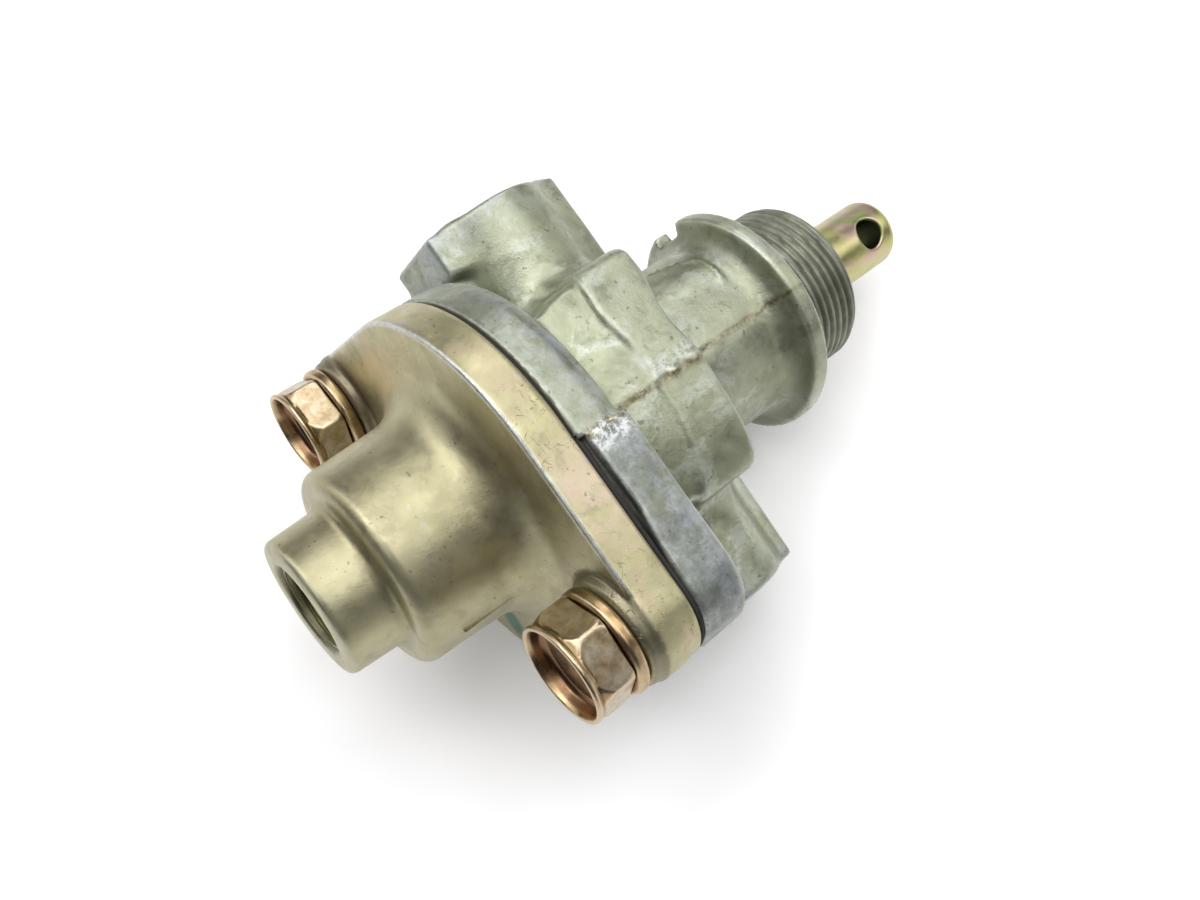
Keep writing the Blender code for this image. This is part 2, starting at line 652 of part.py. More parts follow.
def make_cap_screw(name, centre, material):
    """An indented hex head with a round rim, and a plain shank for its thread."""
    length = SCREW_TIP_Z - HEAD_Z
    screw = hex_bar("cap_screw_" + name, HEAD_ACROSS_FLATS, HEAD_HEIGHT - HEAD_RIM / 2)
    screw.data.transform(Matrix.Rotation(HEAD_TURN[name], 4, "Z"))
    screw.data.transform(Matrix.Translation((0, 0, HEAD_RIM / 2)))
    barrel = turned("head_barrel_" + name, [
        (0, HEAD_HEIGHT),
        (HEAD_ACROSS_FLATS / 2, HEAD_HEIGHT),
        (HEAD_RADIUS, HEAD_HEIGHT * 0.75),
        (HEAD_RADIUS, HEAD_HEIGHT * 0.3),
        (HEAD_ACROSS_FLATS / 2, HEAD_RIM / 2),
        (HEAD_ACROSS_FLATS / 2, 0),
        (0, 0),
    ])
    rim = turned("head_rim_" + name, [
        (0, HEAD_RIM),
        (HEAD_ACROSS_FLATS / 2, HEAD_RIM),
        (HEAD_RADIUS, HEAD_RIM / 2),
        (HEAD_RADIUS - 0.3 * MM, 0),
        (0, 0),
    ])
    shank = turned("shank_" + name, [
        (0, length),
        (SCREW_RADIUS - 0.8 * MM, length),
        (SCREW_RADIUS, length - 0.8 * MM),
        (SCREW_RADIUS, HEAD_HEIGHT - OVERCUT),
        (0, HEAD_HEIGHT - OVERCUT),
    ], HOLE_STEPS)
    dish = turned("head_dish_" + name, [
        (0, HEAD_DISH_DEPTH),
        (HEAD_DISH_FLOOR, HEAD_DISH_DEPTH),
        (HEAD_DISH_RADIUS, 0.3 * MM),
        (HEAD_DISH_RADIUS, -OVERCUT),
        (0, -OVERCUT),
    ], HOLE_STEPS)
    as_piece(screw, material)
    for other, operation in ((barrel, "INTERSECT"), (rim, "UNION"),
                             (shank, "UNION"), (dish, "DIFFERENCE")):
        place(as_cutter(other), (*centre, HEAD_Z))
        combine(screw, other, operation)
    return place(screw, (*centre, HEAD_Z))


def make_lock_washer(name, centre, material):
    """A spring washer, slit at a slant on its outer side."""
    washer = ring("lock_washer_" + name, SCREW_RADIUS + CLEARANCE, WASHER_RADIUS,
                  WASHER_THICKNESS, edge=0.4 * MM)
    as_piece(place(washer, (*centre, WASHER_Z)), material)
    slit = block("washer_slit_" + name, (0, -WASHER_SLIT / 2, -WASHER_THICKNESS),
                 (WASHER_RADIUS + OVERCUT, WASHER_SLIT / 2, 2 * WASHER_THICKNESS))
    place(slit, (*centre, WASHER_Z + WASHER_THICKNESS / 2), (math.radians(20), 0, 0))
    slit.location.z -= WASHER_THICKNESS / 2
    combine(washer, as_cutter(slit), "DIFFERENCE")
    return washer


def make_collar_pieces(bush_material, wiper_material, ring_material):
    """What guides and wipes the stem, and the ring that holds it in the collar."""
    outer = GUIDE_RADIUS - CLEARANCE
    inner = STEM_RADIUS + CLEARANCE
    bush = ring("plunger_guide_bush", inner, outer, BUSH_LENGTH)
    as_piece(place(bush, (0, 0, BUSH_Z)), bush_material)
    wiper = ring("stem_wiper_ring", inner, outer, WIPER_THICKNESS)
    as_piece(place(wiper, (0, 0, WIPER_Z)), wiper_material)

    ring_outer = GUIDE_RADIUS + RING_GROOVE_DEPTH - CLEARANCE
    snap = ring("bush_retaining_ring", ring_outer - RETAINING_RING_WIDTH, ring_outer,
                RETAINING_RING)
    as_piece(place(snap, (0, 0, RETAINING_RING_Z)), ring_material)
    gap = block("retaining_ring_gap", (0, -RETAINING_RING_GAP / 2, -OVERCUT),
                (ring_outer + OVERCUT, RETAINING_RING_GAP / 2, RETAINING_RING + OVERCUT))
    combine(snap, as_cutter(place(gap, (0, 0, RETAINING_RING_Z))), "DIFFERENCE")


def make_return_spring(material):
    """Closed ends lie flat on the seat and under the piston, open turns between."""
    radius = SPRING_WIRE / 2
    rise = SPRING_LENGTH - SPRING_WIRE
    end_rise = SPRING_END_TURNS * SPRING_END_PITCH
    open_turns = SPRING_TURNS - 2 * SPRING_END_TURNS
    open_pitch = (rise - 2 * end_rise) / open_turns
    count = round(SPRING_TURNS * SPRING_POINTS_PER_TURN)
    curve = bpy.data.curves.new("plunger_return_spring", "CURVE")
    curve.dimensions = "3D"
    curve.bevel_depth = radius
    curve.bevel_resolution = 1
    curve.use_fill_caps = True
    spline = curve.splines.new("POLY")
    spline.points.add(count)
    for index, point in enumerate(spline.points):
        turn = SPRING_TURNS * index / count
        low = min(turn, SPRING_END_TURNS) * SPRING_END_PITCH
        middle = min(max(turn - SPRING_END_TURNS, 0.0), open_turns) * open_pitch
        high = max(turn - SPRING_END_TURNS - open_turns, 0.0) * SPRING_END_PITCH
        angle = 2 * math.pi * turn
        point.co = (SPRING_MEAN_RADIUS * math.cos(angle), SPRING_MEAN_RADIUS * math.sin(angle),
                    radius + low + middle + high, 1.0)
    spring = bpy.data.objects.new("plunger_return_spring", curve)
    as_piece(place(spring, (0, 0, SPRING_Z)), material)
    seat = ring("spring_seat_washer", INLET_HOLE_RADIUS, SPRING_SEAT_RADIUS,
                SPRING_SEAT_THICKNESS)
    as_piece(place(seat, (0, 0, SPRING_SEAT_Z)), material)


def make_plunger(material):
    """Stem, piston with its O-ring groove, rod, and the spindle that holds the valves."""
    groove_half = O_RING_SECTION / 2 + CLEARANCE
    groove_radius = PISTON_RADIUS - O_RING_SECTION - CLEARANCE
    lead = 0.6 * MM
    heights = [
        (0, STEM_END_Z),
        (STEM_RADIUS, STEM_END_Z, STEM_END_ROUND),
        (STEM_RADIUS, PISTON_TOP_Z),
        (PISTON_RADIUS - lead, PISTON_TOP_Z),
        (PISTON_RADIUS, PISTON_TOP_Z - lead),
        (PISTON_RADIUS, O_RING_Z + groove_half),
        (groove_radius, O_RING_Z + groove_half),
        (groove_radius, O_RING_Z - groove_half),
        (PISTON_RADIUS, O_RING_Z - groove_half),
        (PISTON_RADIUS, PISTON_Z),
        (ROD_RADIUS, PISTON_Z),
        (ROD_RADIUS, INLET_SEAT_Z),
        (SPINDLE_RADIUS, INLET_SEAT_Z),
        (SPINDLE_RADIUS, SPINDLE_END_Z + lead),
        (SPINDLE_RADIUS - lead, SPINDLE_END_Z),
        (0, SPINDLE_END_Z),
    ]
    plunger = turned("plunger", heights)
    as_piece(place(plunger), material)
    smooth(plunger)
    hole = round_bar("pin_hole", PIN_HOLE_RADIUS, 2 * (STEM_RADIUS + OVERCUT), steps=HOLE_STEPS)
    place(hole, (0, STEM_RADIUS + OVERCUT, STEM_END_Z - PIN_HOLE_INSET), (math.pi / 2, 0, 0))
    combine(plunger, as_cutter(hole), "DIFFERENCE")
    return plunger


def make_o_ring(material):
    """The piston's seal: a plain torus in its groove."""
    section = O_RING_SECTION / 2
    centre = PISTON_RADIUS - section
    around = 8
    corners = []
    for step in range(around):
        angle = math.pi / 2 - 2 * math.pi * step / around
        corners.append((centre + section * math.cos(angle), section * math.sin(angle)))
    seal = turned("plunger_o_ring", corners, HOLE_STEPS, closed=True)
    return as_piece(place(seal, (0, 0, O_RING_Z)), material)


def make_valve_stack(rubber, steel):
    """The discs, backings, sleeve, washer and nut on the plunger's spindle."""
    stack = (
        ("inlet_valve_disc", INLET_DISC_RADIUS, DISC_THICKNESS, INLET_DISC_Z, rubber),
        ("inlet_valve_backing", INLET_DISC_RADIUS, BACKING_THICKNESS, INLET_BACKING_Z, steel),
        ("valve_spacer_sleeve", SLEEVE_RADIUS, SLEEVE_LENGTH, SLEEVE_Z, steel),
        ("exhaust_valve_backing", EXHAUST_DISC_RADIUS, BACKING_THICKNESS, EXHAUST_BACKING_Z,
         steel),
        ("exhaust_valve_disc", EXHAUST_DISC_RADIUS, DISC_THICKNESS, EXHAUST_DISC_Z, rubber),
        ("nut_washer", NUT_WASHER_RADIUS, NUT_WASHER_THICKNESS, NUT_WASHER_Z, steel),
    )
    for name, radius, height, low, material in stack:
        piece = ring(name, SPINDLE_BORE, radius, height)
        as_piece(place(piece, (0, 0, low)), material)
    nut = hex_bar("valve_lock_nut", NUT_ACROSS_FLATS, NUT_HEIGHT)
    as_piece(place(nut, (0, 0, NUT_Z)), steel)
    bore = round_bar("nut_bore", SPINDLE_BORE, NUT_HEIGHT + 2 * OVERCUT, steps=20)
    combine(nut, as_cutter(place(bore, (0, 0, NUT_Z - OVERCUT))), "DIFFERENCE")


def lay_on_bench():
    """Lay the valve on its flange and collar, with its box's middle over the origin."""
    lift = FLANGE_RADIUS - COLLAR_FLANGE_RADIUS
    reach = (COLLAR_FACE_Z - COLLAR_EDGE) - (FLANGE_REAR_Z - BODY_EDGE)
    lean = math.pi / 2 + math.atan(lift / reach)
    laid = Matrix.Rotation(lean, 3, "Y") @ Matrix.Rotation(-LIE_ROLL, 3, "Z")
    VALVE_FRAME.rotation_euler = laid.to_euler()
    bpy.context.view_layer.update()
    graph = bpy.context.evaluated_depsgraph_get()
    corners = []
    for piece in PIECES.objects:
        seen = piece.evaluated_get(graph)
        corners += [seen.matrix_world @ vert.co for vert in seen.to_mesh().vertices]
        seen.to_mesh_clear()
    low = [min(corner[axis] for corner in corners) for axis in range(3)]
    high = [max(corner[axis] for corner in corners) for axis in range(3)]
    VALVE_FRAME.location = (-(low[0] + high[0]) / 2, -(low[1] + high[1]) / 2, -low[2])


clear_scene()
PIECES = new_collection("push_pull_control_valve")
CUTTERS = new_collection("cutters")
VALVE_FRAME = bpy.data.objects.new("valve_axis", None)
bpy.context.scene.collection.objects.link(VALVE_FRAME)

raw_casting = metal("raw_die_casting", (0.40, 0.41, 0.33), 0.45)
gold_casting = metal("gold_chromate_casting", (0.52, 0.45, 0.22), 0.38)
gold_steel = metal("gold_zinc_steel", (0.62, 0.42, 0.20), 0.30)
stem_steel = metal("yellow_zinc_steel", (0.66, 0.58, 0.28), 0.25)
spring_steel = metal("spring_steel", (0.45, 0.45, 0.46), 0.35)
black_rubber = metal("black_rubber", (0.02, 0.02, 0.02), 0.75, metallic=0.0)
gasket_fibre = metal("gasket_sheet", (0.03, 0.03, 0.03), 0.85, metallic=0.0)
bush_plastic = metal("bush_acetal", (0.75, 0.74, 0.68), 0.45, metallic=0.0)

make_valve_body(raw_casting)
make_exhaust_cover(gold_casting)
make_cover_gasket(gasket_fibre)
for screw_name, screw_centre in screw_positions().items():
    make_cap_screw(screw_name, screw_centre, gold_steel)
    make_lock_washer(screw_name, screw_centre, gold_steel)
make_collar_pieces(bush_plastic, black_rubber, spring_steel)
make_return_spring(spring_steel)
make_plunger(stem_steel)
make_o_ring(black_rubber)
make_valve_stack(black_rubber, spring_steel)
lay_on_bench()
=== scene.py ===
import math
from collections import namedtuple

import bpy
import numpy as np
from mathutils import Matrix, Vector


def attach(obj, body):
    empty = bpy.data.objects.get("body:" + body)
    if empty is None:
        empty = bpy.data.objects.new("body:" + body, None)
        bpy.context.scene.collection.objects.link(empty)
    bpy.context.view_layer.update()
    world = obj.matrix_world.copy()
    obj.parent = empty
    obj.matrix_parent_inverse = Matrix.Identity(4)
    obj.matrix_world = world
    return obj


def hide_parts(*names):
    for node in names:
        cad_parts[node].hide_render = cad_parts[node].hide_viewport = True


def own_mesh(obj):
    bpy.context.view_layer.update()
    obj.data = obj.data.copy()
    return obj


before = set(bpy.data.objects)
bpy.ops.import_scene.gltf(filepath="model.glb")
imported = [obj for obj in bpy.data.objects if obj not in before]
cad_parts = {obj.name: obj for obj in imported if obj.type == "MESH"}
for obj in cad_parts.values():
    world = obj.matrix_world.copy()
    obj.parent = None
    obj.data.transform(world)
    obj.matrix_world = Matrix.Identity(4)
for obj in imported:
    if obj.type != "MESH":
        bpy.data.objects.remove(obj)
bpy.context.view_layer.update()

# The valve's own frame, in millimetres: Z runs from the exhaust port's face to the stem's
# end, X towards the delivery port. It lies on two rims, the flange's and the collar's.
FLANGE_RIM_RADIUS, FLANGE_RIM_Z = 26.95, 37.2
COLLAR_RIM_RADIUS, COLLAR_RIM_Z = 17.9, 77.6
ROLL = math.radians(69.5)
LEAN = math.pi / 2 + math.atan((FLANGE_RIM_RADIUS - COLLAR_RIM_RADIUS)
                               / (COLLAR_RIM_Z - FLANGE_RIM_Z))
TURN = np.array(Matrix.Rotation(LEAN, 3, "Y") @ Matrix.Rotation(-ROLL, 3, "Z"))
PLACE = np.array((-0.053573, 0.0, 0.035053))    # the frame's origin in the scene, metres

# Flange outlines: radius of the round part, radius of the screw lobes
COVER_OUTLINE = (26.93, 7.78)
BODY_OUTLINE = (26.9, 7.7)
GASKET_OUTLINE = (26.7, 7.55)

SCREW_ANGLE = math.radians(-40.7)
SCREW_CIRCLE = 30.1
SCREW_HOLE = 4.25
LOWER_SCREW = (SCREW_CIRCLE * math.cos(SCREW_ANGLE), SCREW_CIRCLE * math.sin(SCREW_ANGLE))
SCREWS = {"lower": LOWER_SCREW, "upper": (-LOWER_SCREW[0], -LOWER_SCREW[1])}

COVER_FACE_Z = 25.1
COLLAR_FACE_Z = 78.1
SEAM_SLOPE = 0.0734             # the parting line crosses the axis at a slight slant

# Side ports: side of the valve, the port's height, and its air passage's height and start
Port = namedtuple("Port", "side z passage_z passage_start")
PORTS = {"supply": Port(-1, 51.0, 52.6, 8.6), "delivery": Port(1, 48.1, 45.35, 15.0)}
BOSS_END = 32.4
THREAD_PITCH = 1.41

PIN_HOLE_Z = 105.3
PIN_HOLE_ANGLE = math.radians(6)
SPRING_FOOT_Z = 50.8
SPRING_LENGTH = 14.6


# Solids as distance fields on a grid, in millimetres

class Grid:
    def __init__(self, low, high, cell):
        self.low, self.cell = np.array(low, float), cell
        axes = [np.arange(a, b + cell, cell, dtype=np.float32) for a, b in zip(low, high)]
        self.x = axes[0][:, None, None]
        self.y = axes[1][None, :, None]
        self.z = axes[2][None, None, :]


def join(a, b, fillet=0.0):
    """Union with a round fillet."""
    if fillet == 0:
        return np.minimum(a, b)
    return (np.maximum(fillet, np.minimum(a, b))
            - np.hypot(np.maximum(fillet - a, 0), np.maximum(fillet - b, 0)))


def meet(a, b, edge=0.0):
    """Intersection with a rounded edge."""
    if edge == 0:
        return np.maximum(a, b)
    return (np.minimum(-edge, np.maximum(a, b))
            + np.hypot(np.maximum(edge + a, 0), np.maximum(edge + b, 0)))


def cut(a, b, edge=0.0):
    """What is left of a where b is taken away."""
    return meet(a, -b, edge)


def extruded(flat, along, low, high, edge=0.0):
    """A flat distance field made as thick as low to high, with rounded rims."""
    side = flat + edge
    cap = np.abs(along - (low + high) / 2) - ((high - low) / 2 - edge)
    outside = np.hypot(np.maximum(side, 0), np.maximum(cap, 0))
    return outside + np.minimum(np.maximum(side, cap), 0) - edge


def profile(rho, along, corners):
    """A turned field whose radius follows (height, radius) pairs in order."""
    heights = [c[0] for c in corners]
    radii = [c[1] for c in corners]
    return rho - np.interp(along, heights, radii).astype(np.float32)


def capsule(x, y, big, small, centre):
    """Distance to the hull of a circle at the origin and a smaller one at centre."""
    reach = math.hypot(*centre)
    ux, uy = centre[0] / reach, centre[1] / reach
    along = x * ux + y * uy
    across = np.abs(y * ux - x * uy)
    slope = (big - small) / reach
    cosine = math.sqrt(1 - slope * slope)
    k = across * -slope + along * cosine
    near = np.hypot(across, along) - big
    far = np.hypot(across, along - reach) - small
    side = across * cosine + along * slope - big
    return np.where(k < 0, near, np.where(k > cosine * reach, far, side))


def lobes(x, y, big, small):
    """A flange's outline: a circle with a lobe towards each screw."""
    return np.minimum(capsule(x, y, big, small, SCREWS["lower"]),
                      capsule(x, y, big, small, SCREWS["upper"]))


def rounded_box(x, y, half_x, half_y, corner):
    """A flat rectangle with round corners."""
    dx = np.abs(x) - half_x + corner
    dy = np.abs(y) - half_y + corner
    return (np.hypot(np.maximum(dx, 0), np.maximum(dy, 0))
            + np.minimum(np.maximum(dx, dy), 0) - corner)


def wobble(x, y, z, scale, seed):
    """A slow, smooth unevenness between about -1 and 1, as castings have."""
    rng = np.random.default_rng(seed)
    total = 0.0
    for _ in range(7):
        way = rng.normal(size=3)
        way *= rng.uniform(0.6, 1.7) / np.linalg.norm(way) / scale
        total = total + np.sin(way[0] * x + way[1] * y + way[2] * z + rng.uniform(0, 6.28))
    return (total / 3.2).astype(np.float32)


def sample(field, grid, points):
    """Read a field between its nodes."""
    at = (points - grid.low) / grid.cell
    base = np.clip(np.floor(at).astype(int), 0, np.array(field.shape) - 2)
    part = np.clip(at - base, 0, 1)
    i, j, k = base.T
    u, v, w = part.T
    total = 0.0
    for dx in (0, 1):
        for dy in (0, 1):
            for dz in (0, 1):
                weight = ((u if dx else 1 - u) * (v if dy else 1 - v) * (w if dz else 1 - w))
                total = total + weight * field[i + dx, j + dy, k + dz]
    return total


def skin(field, grid):
    """The field's zero surface: points, quads, normals and the bend at each point."""
    field = np.ascontiguousarray(field, dtype=np.float32)
    inside = field < 0
    shape = np.array(field.shape) - 1
    count = np.zeros(shape, np.uint8)
    for dx in (0, 1):
        for dy in (0, 1):
            for dz in (0, 1):
                count += inside[dx:shape[0] + dx, dy:shape[1] + dy, dz:shape[2] + dz]
    active = (count > 0) & (count < 8)
    cells = np.argwhere(active)
    index = np.full(shape, -1, np.int64)
    index[active] = np.arange(len(cells))
    total = np.zeros((len(cells), 3))
    found = np.zeros(len(cells))
    for axis in range(3):
        others = [a for a in range(3) if a != axis]
        for p in (0, 1):
            for q in (0, 1):
                start = np.zeros(3, int)
                start[others[0]], start[others[1]] = p, q
                stop = start.copy()
                stop[axis] = 1
                a = field[tuple((cells + start).T)]
                b = field[tuple((cells + stop).T)]
                crosses = (a < 0) != (b < 0)
                t = np.where(crosses, a / np.where(crosses, a - b, 1), 0)
                spot = start + np.outer(t, stop - start)
                total += spot * crosses[:, None]
                found += crosses
    points = (cells + total / found[:, None]) * grid.cell + grid.low
    quads = []
    for axis in range(3):
        b, c = (axis + 1) % 3, (axis + 2) % 3
        first = np.moveaxis(inside, (axis, b, c), (0, 1, 2))
        ids = np.moveaxis(index, (axis, b, c), (0, 1, 2))
        here, there = first[:-1, 1:-1, 1:-1], first[1:, 1:-1, 1:-1]
        for solid, empty, flip in ((here, there, False), (there, here, True)):
            i, j, k = np.argwhere(solid & ~empty).T
            ring = [ids[i, j, k], ids[i, j + 1, k], ids[i, j + 1, k + 1], ids[i, j, k + 1]]
            quads.append(np.stack(ring[::-1] if flip else ring, axis=1))
    quads = np.concatenate(quads)
    slopes = [g.astype(np.float32) for g in np.gradient(field, grid.cell)]
    for _ in range(3):
        slope = np.stack([sample(g, grid, points) for g in slopes], axis=1)
        size = np.maximum((slope ** 2).sum(axis=1), 0.2)
        step = np.clip(sample(field, grid, points) / size, -grid.cell / 2, grid.cell / 2)
        points = points - slope * step[:, None] * 0.8
    slope = np.stack([sample(g, grid, points) for g in slopes], axis=1)
    normals = slope / np.maximum(np.linalg.norm(slope, axis=1), 1e-6)[:, None]
    bend = sum(np.gradient(slopes[a], grid.cell, axis=a) for a in range(3))
    return points, quads, normals, sample(bend, grid, points)


def to_world(points):
    """From the valve's millimetres to the scene's metres."""
    return np.asarray(points) * 0.001 @ TURN.T + PLACE


def as_mesh(name, points, faces, material, normals=None, marks=None):
    """An object of these points and faces; marks are values per point that the looks use."""
    mesh = bpy.data.meshes.new(name)
    mesh.from_pydata(to_world(points).tolist(), [], [list(map(int, f)) for f in faces])
    mesh.shade_smooth()
    if normals is not None:
        turned = np.asarray(normals) @ TURN.T
        mesh.normals_split_custom_set_from_vertices(turned.tolist())
    for key, values in (marks or {}).items():
        layer = mesh.attributes.new(key, "FLOAT", "POINT")
        layer.data.foreach_set("value", np.asarray(values, np.float32))
    mesh.materials.append(material)
    obj = bpy.data.objects.new(name, mesh)
    bpy.context.scene.collection.objects.link(obj)
    return obj


def piece_from(name, field, grid, material, marks=None, shift=(0.0, 0.0, 0.0)):
    """An object of a field's surface, moved by shift, with its bend as a mark."""
    points, quads, normals, bend = skin(field, grid)
    values = {"bend": bend}
    if marks:
        values.update(marks(*points.T))
    return as_mesh(name, points + np.array(shift), quads, material, normals, values)


def revolved(corners, steps):
    """A turned piece from (radius, height) pairs listed from the top down its outside."""
    angles = np.arange(steps) * 2 * math.pi / steps
    rows = [np.stack([r * np.cos(angles), r * np.sin(angles), np.full(steps, z)], axis=1)
            for r, z in corners]
    faces = []
    for row in range(len(corners)):
        a, b = row * steps, (row + 1) % len(corners) * steps
        for step in range(steps):
            after = (step + 1) % steps
            faces.append((a + step, b + step, b + after, a + after))
    return np.concatenate(rows), faces


def threaded(name, low, high, crest, root, pitch, core, material, inside=False, steps=144,
             fade=0.8, wear=0.0, move=None):
    """A sleeve with a real helical thread on its outer wall, or on its inner one.

    The thread fades at both ends, and move takes the points to their place in the valve."""
    rows = int((high - low) / pitch * 12)
    z = np.linspace(low, high, rows)
    angle = np.arange(steps) * 2 * math.pi / steps
    phase = (z[:, None] / pitch - angle[None, :] / (2 * math.pi)) % 1.0
    tooth = np.clip(1.5 - np.abs(phase - 0.5) * 4.6, -0.55, 0.62)
    tooth = (tooth + 0.55) / 1.17
    depth = np.clip((z - low) / fade, 0, 1) * np.clip((high - z) / fade, 0, 1)
    worn = 1 - wear * (0.5 + 0.5 * np.sin(3 * angle + 1.3))[None, :] * 0.5
    rise = (crest - root) * tooth * worn
    if inside:
        radius = crest + (root + rise - crest) * depth[:, None]
    else:
        radius = root + rise * np.minimum(1, 0.15 + depth[:, None])
    wave = np.stack([radius * np.cos(angle), radius * np.sin(angle),
                     np.broadcast_to(z[:, None], radius.shape)], axis=2).reshape(-1, 3)
    ring = np.stack([core * np.cos(angle), core * np.sin(angle), np.zeros(steps)], axis=1)
    points = np.concatenate([wave, ring + [0, 0, high], ring + [0, 0, low]])
    if move:
        points = move(*points.T)
    faces = []
    strips = [(row * steps, (row + 1) * steps) for row in range(rows)] + [
        (rows * steps, (rows + 1) * steps), ((rows + 1) * steps, 0)]
    for a, b in strips:
        for step in range(steps):
            after = (step + 1) % steps
            quad = (a + step, a + after, b + after, b + step)
            faces.append(quad[::-1] if inside else quad)
    obj = as_mesh(name, points, faces, material)
    obj.data.set_sharp_from_angle(angle=math.radians(50))
    return obj


# Materials

def shader(name, metallic, roughness):
    material = bpy.data.materials.new(name)
    material.use_nodes = True
    tree = material.node_tree
    main = tree.nodes["Principled BSDF"]
    main.inputs["Metallic"].default_value = metallic
    main.inputs["Roughness"].default_value = roughness
    return material, tree, main


def where(tree, scale):
    """Object coordinates in millimetres, times a scale."""
    nodes, links = tree.nodes, tree.links
    place = nodes.new("ShaderNodeTexCoord")
    mapping = nodes.new("ShaderNodeMapping")
    for axis in range(3):
        mapping.inputs["Scale"].default_value[axis] = 1000 * scale
    links.new(place.outputs["Object"], mapping.inputs["Vector"])
    return mapping.outputs["Vector"]


def noise(tree, scale, detail=4.0, rough=0.55, distortion=0.0):
    node = tree.nodes.new("ShaderNodeTexNoise")
    node.inputs["Scale"].default_value = 1.0
    node.inputs["Detail"].default_value = detail
    node.inputs["Roughness"].default_value = rough
    node.inputs["Distortion"].default_value = distortion
    tree.links.new(where(tree, scale), node.inputs["Vector"])
    return node.outputs["Fac"]


def ramp(tree, source, stops):
    node = tree.nodes.new("ShaderNodeValToRGB")
    band = node.color_ramp
    while len(band.elements) < len(stops):
        band.elements.new(0.5)
    for element, (place, colour) in zip(band.elements, stops):
        element.position = place
        element.color = (*colour, 1.0)
    tree.links.new(source, node.inputs["Fac"])
    return node.outputs["Color"]


def math_node(tree, operation, a, b=0.0, clamp=False):
    node = tree.nodes.new("ShaderNodeMath")
    node.operation = operation
    node.use_clamp = clamp
    for socket, value in ((node.inputs[0], a), (node.inputs[1], b)):
        if isinstance(value, (int, float)):
            socket.default_value = value
        else:
            tree.links.new(value, socket)
    return node.outputs[0]


def spread(tree, source, low, high, to_low=0.0, to_high=1.0):
    """Stretch the range from low to high to another one, and clamp it there."""
    node = tree.nodes.new("ShaderNodeMapRange")
    node.inputs["From Min"].default_value = low
    node.inputs["From Max"].default_value = high
    node.inputs["To Min"].default_value = to_low
    node.inputs["To Max"].default_value = to_high
    tree.links.new(source, node.inputs["Value"])
    return node.outputs["Result"]


def mix(tree, factor, a, b):
    """Colour a where the factor is 0 and colour b where it is 1."""
    node = tree.nodes.new("ShaderNodeMix")
    node.data_type = "RGBA"
    if isinstance(factor, (int, float)):
        node.inputs[0].default_value = factor
    else:
        tree.links.new(factor, node.inputs[0])
    for socket, value in ((node.inputs[6], a), (node.inputs[7], b)):
        if isinstance(value, tuple):
            socket.default_value = (*value, 1.0)
        else:
            tree.links.new(value, socket)
    return node.outputs[2]


def mark(tree, name):
    """A value that the mesh carries at each point."""
    node = tree.nodes.new("ShaderNodeAttribute")
    node.attribute_name = name
    return node.outputs["Fac"]


def bump(tree, height, distance, strength, after=None):
    """Relief of a height in millimetres, on top of an earlier one."""
    node = tree.nodes.new("ShaderNodeBump")
    node.inputs["Strength"].default_value = strength
    node.inputs["Distance"].default_value = distance * 0.001
    tree.links.new(height, node.inputs["Height"])
    if after is not None:
        tree.links.new(after, node.inputs["Normal"])
    return node.outputs["Normal"]


def pits(tree, scale, low, high):
    """Sparse spots of uneven shape: 1 inside a spot and 0 elsewhere."""
    return spread(tree, noise(tree, scale, 1.5, 0.5), low, high)


def wisps(tree, scale, width):
    """Thin wandering lines: 1 on a line and 0 away from it."""
    away = math_node(tree, "SUBTRACT", noise(tree, scale, 2.5, 0.55, 0.6), 0.5)
    return spread(tree, math_node(tree, "ABSOLUTE", away), 0.0, width, 1.0, 0.0)


def product(tree, *factors):
    total = factors[0]
    for factor in factors[1:]:
        total = math_node(tree, "MULTIPLY", total, factor, clamp=True)
    return total


